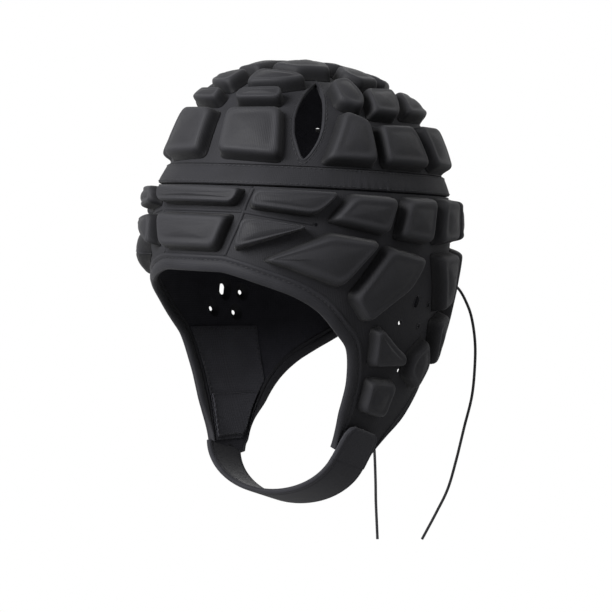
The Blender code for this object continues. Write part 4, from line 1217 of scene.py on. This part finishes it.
def make_rims():
    vent, rear, hole = vent_curve(), REAR_VENT_WIDTH + RIM_GROWTH, EAR_HOLE_WIDTH + EAR_RIM_GROWTH
    slot = EAR_SLOT_LENGTH + RIM_GROWTH, EAR_SLOT_WIDTH + RIM_GROWTH, EAR_SLOT_SLANT
    rims = [
        ("leaf_vent_rim", vent, 0.0010, -0.0007),
        ("leaf_vent_hem", vent, 0.0008, -0.0026),
        ("rear_vent_rim", ring_outline(REAR_VENT, rear, rear), 0.0004, -0.0002),
        ("ear_slot_rim", ring_outline(EAR_SLOT, *slot), 0.00045, -0.0001),
    ]
    for number, spot in enumerate(EAR_HOLES, start=1):
        rims.append((f"ear_hole_rim_{number}", ring_outline(spot, hole, hole), 0.0004, -0.0001))
    for side, mirror in SIDES:
        for stem, outline, radius, lift in rims:
            rim(f"{stem}_{side}", outline, radius, lift, mirror)


make_rims()

# Seams that stand up a little between the pads: places in azimuth and level, on the wearer's left
BROW_SEAM = ((23.9, 1.012), (22.0, 1.10), (20.4, 1.20), (18.0, 1.30), (15.6, 1.40))
GROOVE_SEAM = ((21.6, 1.148), (34.0, 1.172), (49.0, 1.200))
FRONT_SEAM = ((-20.6, 1.146), (0.0, 1.146), (20.6, 1.146))
SEAM_RADIUS, SEAM_FLATNESS = 0.0010, 0.55
# Lift of raised seams and of the vents' stitches, so that they don't sink into the shell
SEAM_LIFT = 0.0001


def raised_seam(name, places, mirror):
    places = catmull(places, 80)
    path, normals = side_points(places, SEAM_LIFT, mirror), side_normals(places, mirror)
    mesh = tube_mesh(name, path, SEAM_RADIUS, flat=SEAM_FLATNESS, normals=normals)
    place(link(name, mesh, MATERIALS["shell_fabric"]), "shell_fabric")


def make_seams():
    raised_seam("front_seam", FRONT_SEAM, 1.0)
    for side, mirror in SIDES:
        raised_seam("brow_seam_" + side, BROW_SEAM, mirror)
        raised_seam("groove_seam_" + side, GROOVE_SEAM, mirror)


make_seams()


# ---------------------------------------------------------------- chin strap, tab and patch
STRAP_ROWS, STRAP_COLUMNS = 90, 49
TAB_ROWS, PATCH_ROWS, FLAP_COLUMNS = 36, 12, 33
# Thickness of strap and tab: share of the half width that rounds off, then place, spread and depth
# of the groove beside the edge's bead
EDGE_SHARE, GROOVE_PLACE, GROOVE_SPREAD, GROOVE_DEPTH = 0.16, 0.80, 0.035, 0.00035
# Share of the tab's width along it, and the share of its length that thins out
TAB_WIDTHS = ((0.0, 0.3, 0.55, 0.75, 0.90, 1.0), (1.0, 1.0, 1.0, 0.97, 0.87, 0.66))
TAB_END = 0.10
# Rise of the loop patch's ends above the chin seam
PATCH_RISES = (0.0075, 0.0175)


def strap_grid():
    """Middle surface of the strap's bow, from the right flap to the left one."""
    seam, width, up = strap_frame()
    low, high = tab_offsets()
    middle, half_span, depth = strap_ellipse()
    start = math.radians(STRAP_START_TURN)
    grid = np.zeros((STRAP_ROWS, STRAP_COLUMNS, 3))
    widths = np.linspace(-0.5, 0.5, STRAP_COLUMNS) * STRAP_WIDTH
    for row, share in enumerate(np.linspace(0, 1, STRAP_ROWS)):
        turn = start + (math.pi - 2 * start) * share
        centre_x = middle - half_span * math.cos(turn)
        drop_by = depth * (math.sin(start) - math.sin(turn)) - SEAM_GAP
        side, offset = (-1.0, -SHELL_THICKNESS / 2) if share < 0.5 else (1.0, (low + high) / 2)
        fade = max(1.0 - min(share, 1.0 - share) / STRAP_FADE, 0.0) ** 2
        curl = flap_point(widths, 0.0, offset)[:, 0] - flap_point(0.0, 0.0, offset)[0]
        spots = seam + width * widths[:, None] + up * drop_by
        spots[:, 0] = centre_x + side * curl * fade
        grid[row] = spots
    return grid


def grid_normals(grid):
    down, across = np.gradient(grid, axis=0), np.gradient(grid, axis=1)
    return unit(np.cross(down, across))


def rounded(share):
    """Share of the full thickness at a share of the way in from a rounded edge."""
    return np.sqrt(np.clip(1 - (1 - np.clip(share, 0.0, 1.0)) ** 2, 0.02, 1.0))


def edge_round(columns):
    """Half thickness across a strap: full in the middle, a bead near each edge, thin at it."""
    place_across = np.abs(np.linspace(-1, 1, columns))
    half = STRAP_THICKNESS / 2 * rounded((1 - place_across) / EDGE_SHARE)
    return half - np.exp(-((place_across - GROOVE_PLACE) / GROOVE_SPREAD) ** 2) * GROOVE_DEPTH


def metre_uv(grid):
    across = np.linspace(-0.5, 0.5, grid.shape[1]) * np.linalg.norm(grid[0, -1] - grid[0, 0])
    return np.stack(np.meshgrid(across, run_of(grid[:, grid.shape[1] // 2])), -1)


# How far an extra row reaches past the strap's end, in line with its first rows
STRAP_TUCK = 0.0012


def bend_with_strap(piece):
    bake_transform(piece)


def make_strap():
    grid = strap_grid()
    tucked = grid[0] + unit(grid[0] - grid[1]) * STRAP_TUCK
    grid = np.vstack([tucked[None], grid])
    half = edge_round(STRAP_COLUMNS)
    strap = slab("chin_strap_cover", grid, grid_normals(grid), half, metre_uv(grid), "strap_fabric")
    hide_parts("chin_strap")
    bend_with_strap(strap)


def make_tab():
    low, high = tab_offsets()
    start_rise = (low + high) / 2 * math.sin(strap_end_lean()) - TAB_TUCK
    share = np.linspace(0, 1, TAB_ROWS)[:, None]
    across = np.interp(share, *TAB_WIDTHS) * STRAP_WIDTH * np.linspace(-0.5, 0.5, FLAP_COLUMNS)
    grid = flap_point(across, start_rise + (TAB_RISE + TAB_TUCK) * share, (low + high) / 2)
    half = edge_round(FLAP_COLUMNS) * rounded((1 - share) / TAB_END)
    tab = slab("grip_tab_cover", grid, grid_normals(grid), half, metre_uv(grid), "strap_fabric")
    place(tab, "strap_fabric", "strap_tab", body="tab")


def make_patch():
    across, half = LOOP_PATCH_WIDTH * np.linspace(-0.5, 0.5, FLAP_COLUMNS), LOOP_PATCH_THICKNESS / 2
    grid = flap_point(across, np.linspace(*PATCH_RISES, PATCH_ROWS)[:, None], SEAM_GAP + half)
    patch = slab("loop_patch_cover", grid, grid_normals(grid), half, metre_uv(grid), "hook_and_loop")
    place(patch, "hook_and_loop", "loop_patch")


LAYER_THICKNESS = 0.0007
LINING_REAR = 112.0
# Top and end level of the layers inside the right flap, their margins in degrees from its front and
# rear edge, and the depth of their middle in thicknesses of a layer
INNER_LAYERS = {"flap_lining": (1.88, 2.58, 1.2, 1.6, 0.5), "flap_patch": (2.30, 2.56, 2.2, 2.2, 1.5)}
LAYER_STITCH_LIFT = 0.0001


def inner_layer(name, top, end, front_margin, rear_margin, depth):
    """Thin layer sewn inside the right flap; returns the runs of its stitches."""
    level = np.linspace(top, end, 40)[:, None]
    front = front_azimuth(level) + front_margin
    rear = np.minimum(rear_azimuth(level) - rear_margin, LINING_REAR)
    azimuth = front + (rear - front) * np.linspace(0, 1, 41)
    level = np.broadcast_to(level, azimuth.shape)
    grid = flip_side(shell(azimuth, level, -(SHELL_THICKNESS + LAYER_THICKNESS * depth)), -1.0)
    normals = flip_side(shell_normal(azimuth, level), -1.0)
    half = LAYER_THICKNESS / 2
    layer = slab(name, grid, normals, half, flat_uv(azimuth, level), "brushed_lining_painted_fill")
    place(layer, "shell_fabric")
    sewn = (grid - normals * (half + LAYER_STITCH_LIFT))[1:-1, 1:-1]
    return [sewn[:, 0], sewn[-1], sewn[:, -1], sewn[0]]


make_strap()
make_tab()
make_patch()
lining_runs = [run for name, sizes in INNER_LAYERS.items() for run in inner_layer(name, *sizes)]


# ---------------------------------------------------------------- rear gusset and eyelets
# Azimuths and levels at the gusset's edges
GUSSET_SPAN, GUSSET_LEVELS = (166, 194), (1.02, 1.70)
EYELET_WIDTH, EYELET_RADIUS, EYELET_LIFT, EYELET_FLATNESS = 0.0042, 0.0006, 0.0009, 0.8


def make_rear():
    half = TONGUE_THICKNESS / 2
    azimuth, level = np.meshgrid(np.linspace(*GUSSET_SPAN, 29), np.linspace(*GUSSET_LEVELS, 60))
    grid = shell(azimuth, level, -SHELL_THICKNESS / 2 - TAPE_THICKNESS / 2 - SEAM_GAP - half)
    normals = shell_normal(azimuth, level)
    gusset = slab("rear_gusset", grid, normals, half, flat_uv(azimuth, level), "stretch_mesh")
    place(gusset, "stretch_mesh", "rear_tongue")
    for side, mirror in SIDES:
        for number, level in enumerate(EYELET_LEVELS, start=1):
            ring = ring_outline((EYELET_AZIMUTH, level), EYELET_WIDTH, EYELET_WIDTH)
            name = f"eyelet_{number}_{side}"
            rim(name, ring, EYELET_RADIUS, EYELET_LIFT, mirror, "thread", EYELET_FLATNESS)


make_rear()


# ---------------------------------------------------------------- stitches
STITCH_INPUTS = {"Stitch pitch": 0.0032, "Stitch length": 0.0021, "Thread width": 0.00055, "Seed": 3}
# Smallest and largest share of a stitch's size
STITCH_SCATTER = (0.85, 1.1)
BAND_STITCH_LEVELS, BAND_STITCH_LIFT = (0.914, 0.984), 0.0011
# Size of the line of stitches round a vent against the vent's own outline
VENT_STITCH_SPREAD = (1.13, 1.07)
# Columns of the strap's grid that carry stitches, the rows they cover, and their depth
STRAP_STITCH_COLUMNS, STRAP_STITCH_ROWS, STRAP_STITCH_DEPTH = (5, 43), slice(3, -2), 0.0004


def stitch_tree():
    """Stitches along every edge run of a mesh: named sizes, realised, one material."""
    tree = bpy.data.node_groups.new("stitch_run", "GeometryNodeTree")
    tree.interface.new_socket("Geometry", in_out="INPUT", socket_type="NodeSocketGeometry")
    for label, value in STITCH_INPUTS.items():
        kind = "NodeSocketInt" if label == "Seed" else "NodeSocketFloat"
        tree.interface.new_socket(label, in_out="INPUT", socket_type=kind).default_value = value
    tree.interface.new_socket("Geometry", in_out="OUTPUT", socket_type="NodeSocketGeometry")
    graph = Graph(tree)
    source = graph.node("NodeGroupInput")
    curve = graph.node("GeometryNodeMeshToCurve", None, {"Mesh": source})
    sizes = {"Curve": curve, "Length": source.output("Stitch pitch")}
    points = graph.node("GeometryNodeCurveToPoints", {"mode": "LENGTH"}, sizes, "Points")
    width, length = source.output("Thread width"), source.output("Stitch length")
    shape = graph.node("ShaderNodeCombineXYZ", None, {"X": width, "Y": width, "Z": length})
    ball = graph.node("GeometryNodeMeshUVSphere", None, {"Segments": 8, "Rings": 5, "Radius": 0.5})
    stitch = graph.node("GeometryNodeTransform", None, {"Geometry": ball, "Scale": shape})
    sizes = {2: STITCH_SCATTER[0], 3: STITCH_SCATTER[1], "Seed": source.output("Seed")}
    scatter = graph.node("FunctionNodeRandomValue", {"data_type": "FLOAT"}, sizes, 1)
    sizes = {
        "Points": points, "Rotation": points.output("Rotation"), "Instance": stitch, "Scale": scatter,
    }
    laid = graph.node("GeometryNodeInstanceOnPoints", None, sizes)
    laid = graph.node("GeometryNodeRealizeInstances", None, {"Geometry": laid})
    painted = {"Geometry": laid, "Material": MATERIALS["thread"]}
    laid = graph.node("GeometryNodeSetMaterial", None, painted)
    graph.node("NodeGroupOutput", None, {"Geometry": laid})
    return tree


def stitched(name, runs, tree):
    """Piece of stitches along runs of points."""
    points, edges = [], []
    for run in runs:
        start = len(points)
        points += run.tolist()
        edges += [(step, step + 1) for step in range(start, start + len(run) - 1)]
    mesh = bpy.data.meshes.new(name)
    mesh.from_pydata(points, edges, [])
    piece = link(name, mesh)
    piece.modifiers.new("stitches", "NODES").node_group = tree
    bake_modifiers(piece)
    piece.data.shade_smooth()
    return piece


def make_stitches():
    tree = stitch_tree()
    azimuth = np.linspace(-180, 180, 720)
    curve = vent_curve()
    middle = curve.mean(0)
    around = middle + (curve - middle) * VENT_STITCH_SPREAD
    around = np.vstack([around, around[:1]])
    runs = {
        "band_stitches": [shell(azimuth, level, BAND_STITCH_LIFT) for level in BAND_STITCH_LEVELS],
        "binding_stitches": binding_runs,
        "vent_stitches": [side_points(around, SEAM_LIFT, mirror) for _, mirror in SIDES],
        "lining_stitches": lining_runs,
    }
    for name, lines in runs.items():
        place(stitched(name, lines, tree), "binding_tape")
    grid = strap_grid()
    lift = grid_normals(grid) * (STRAP_THICKNESS / 2 - STRAP_STITCH_DEPTH)
    lines = [
        (grid + lift * face)[STRAP_STITCH_ROWS, column]
        for column in STRAP_STITCH_COLUMNS for face in (1.0, -1.0)
    ]
    piece = stitched("strap_stitches", lines, tree)
    bend_with_strap(piece)


make_stitches()


# ---------------------------------------------------------------- floor, light and world
FLOOR_SIZE, FLOOR_HEIGHT, FLOOR_ROUGHNESS = 6.0, -0.46, 0.9
FLOOR_GREY, WHITE = (0.50, 0.50, 0.50, 1.0), (1.0, 1.0, 1.0, 1.0)
WORLD_LIGHT = 0.19
# Azimuth, elevation, distance, size and power of the square soft lights
SOFTBOXES = {
    "front_softbox": (-4.0, 28.0, 1.3, 0.6, 37.0), "right_softbox": (105.0, 40.0, 1.4, 0.7, 3.0),
}


def make_stage():
    """Pale floor that lights the guard from below and shows as plain white."""
    bpy.ops.mesh.primitive_plane_add(size=FLOOR_SIZE, location=(0.0, 0.0, FLOOR_HEIGHT))
    floor = bpy.context.object
    floor.name = "pale_floor"
    material = bpy.data.materials.new("pale_floor")
    material.use_nodes = True
    graph = Graph(material.node_tree)
    shader = graph.tree.nodes["Principled BSDF"]
    graph.feed(shader.inputs["Base Color"], FLOOR_GREY)
    graph.feed(shader.inputs["Roughness"], FLOOR_ROUGHNESS)
    glow = graph.node("ShaderNodeEmission", None, {"Color": WHITE})
    seen = graph.node("ShaderNodeLightPath", output="Is Camera Ray")
    shaders = {0: seen, 1: Signal(graph, shader.outputs[0]), 2: glow}
    mixed = graph.node("ShaderNodeMixShader", None, shaders)
    graph.feed(graph.tree.nodes["Material Output"].inputs["Surface"], mixed)
    floor.data.materials.append(material)


def make_world():
    """White where it is seen, straight, mirrored or through something; dim as a light."""
    world = bpy.data.worlds.new("white_surround")
    bpy.context.scene.world = world
    world.use_nodes = True
    graph = Graph(world.node_tree)
    graph.tree.nodes.clear()
    ray = graph.node("ShaderNodeLightPath", output="Is Camera Ray")
    seen = ray.math("MAXIMUM", ray.output("Is Glossy Ray"))
    seen = seen.math("MAXIMUM", ray.output("Is Transmission Ray"))
    lit, shown = (
        graph.node("ShaderNodeBackground", None, {"Color": WHITE, "Strength": strength})
        for strength in (WORLD_LIGHT, 1.0)
    )
    mixed = graph.node("ShaderNodeMixShader", None, {0: seen, 1: lit, 2: shown})
    graph.node("ShaderNodeOutputWorld", None, {"Surface": mixed})


def make_lights():
    for name, (turn, rise, distance, size, energy) in SOFTBOXES.items():
        data = bpy.data.lights.new(name, "AREA")
        data.shape, data.size, data.energy = "SQUARE", size, energy
        aim(bpy.data.objects.new(name, data), turn, rise, distance)


make_stage()
make_world()
make_lights()
bpy.context.scene.view_settings.view_transform = "Standard"
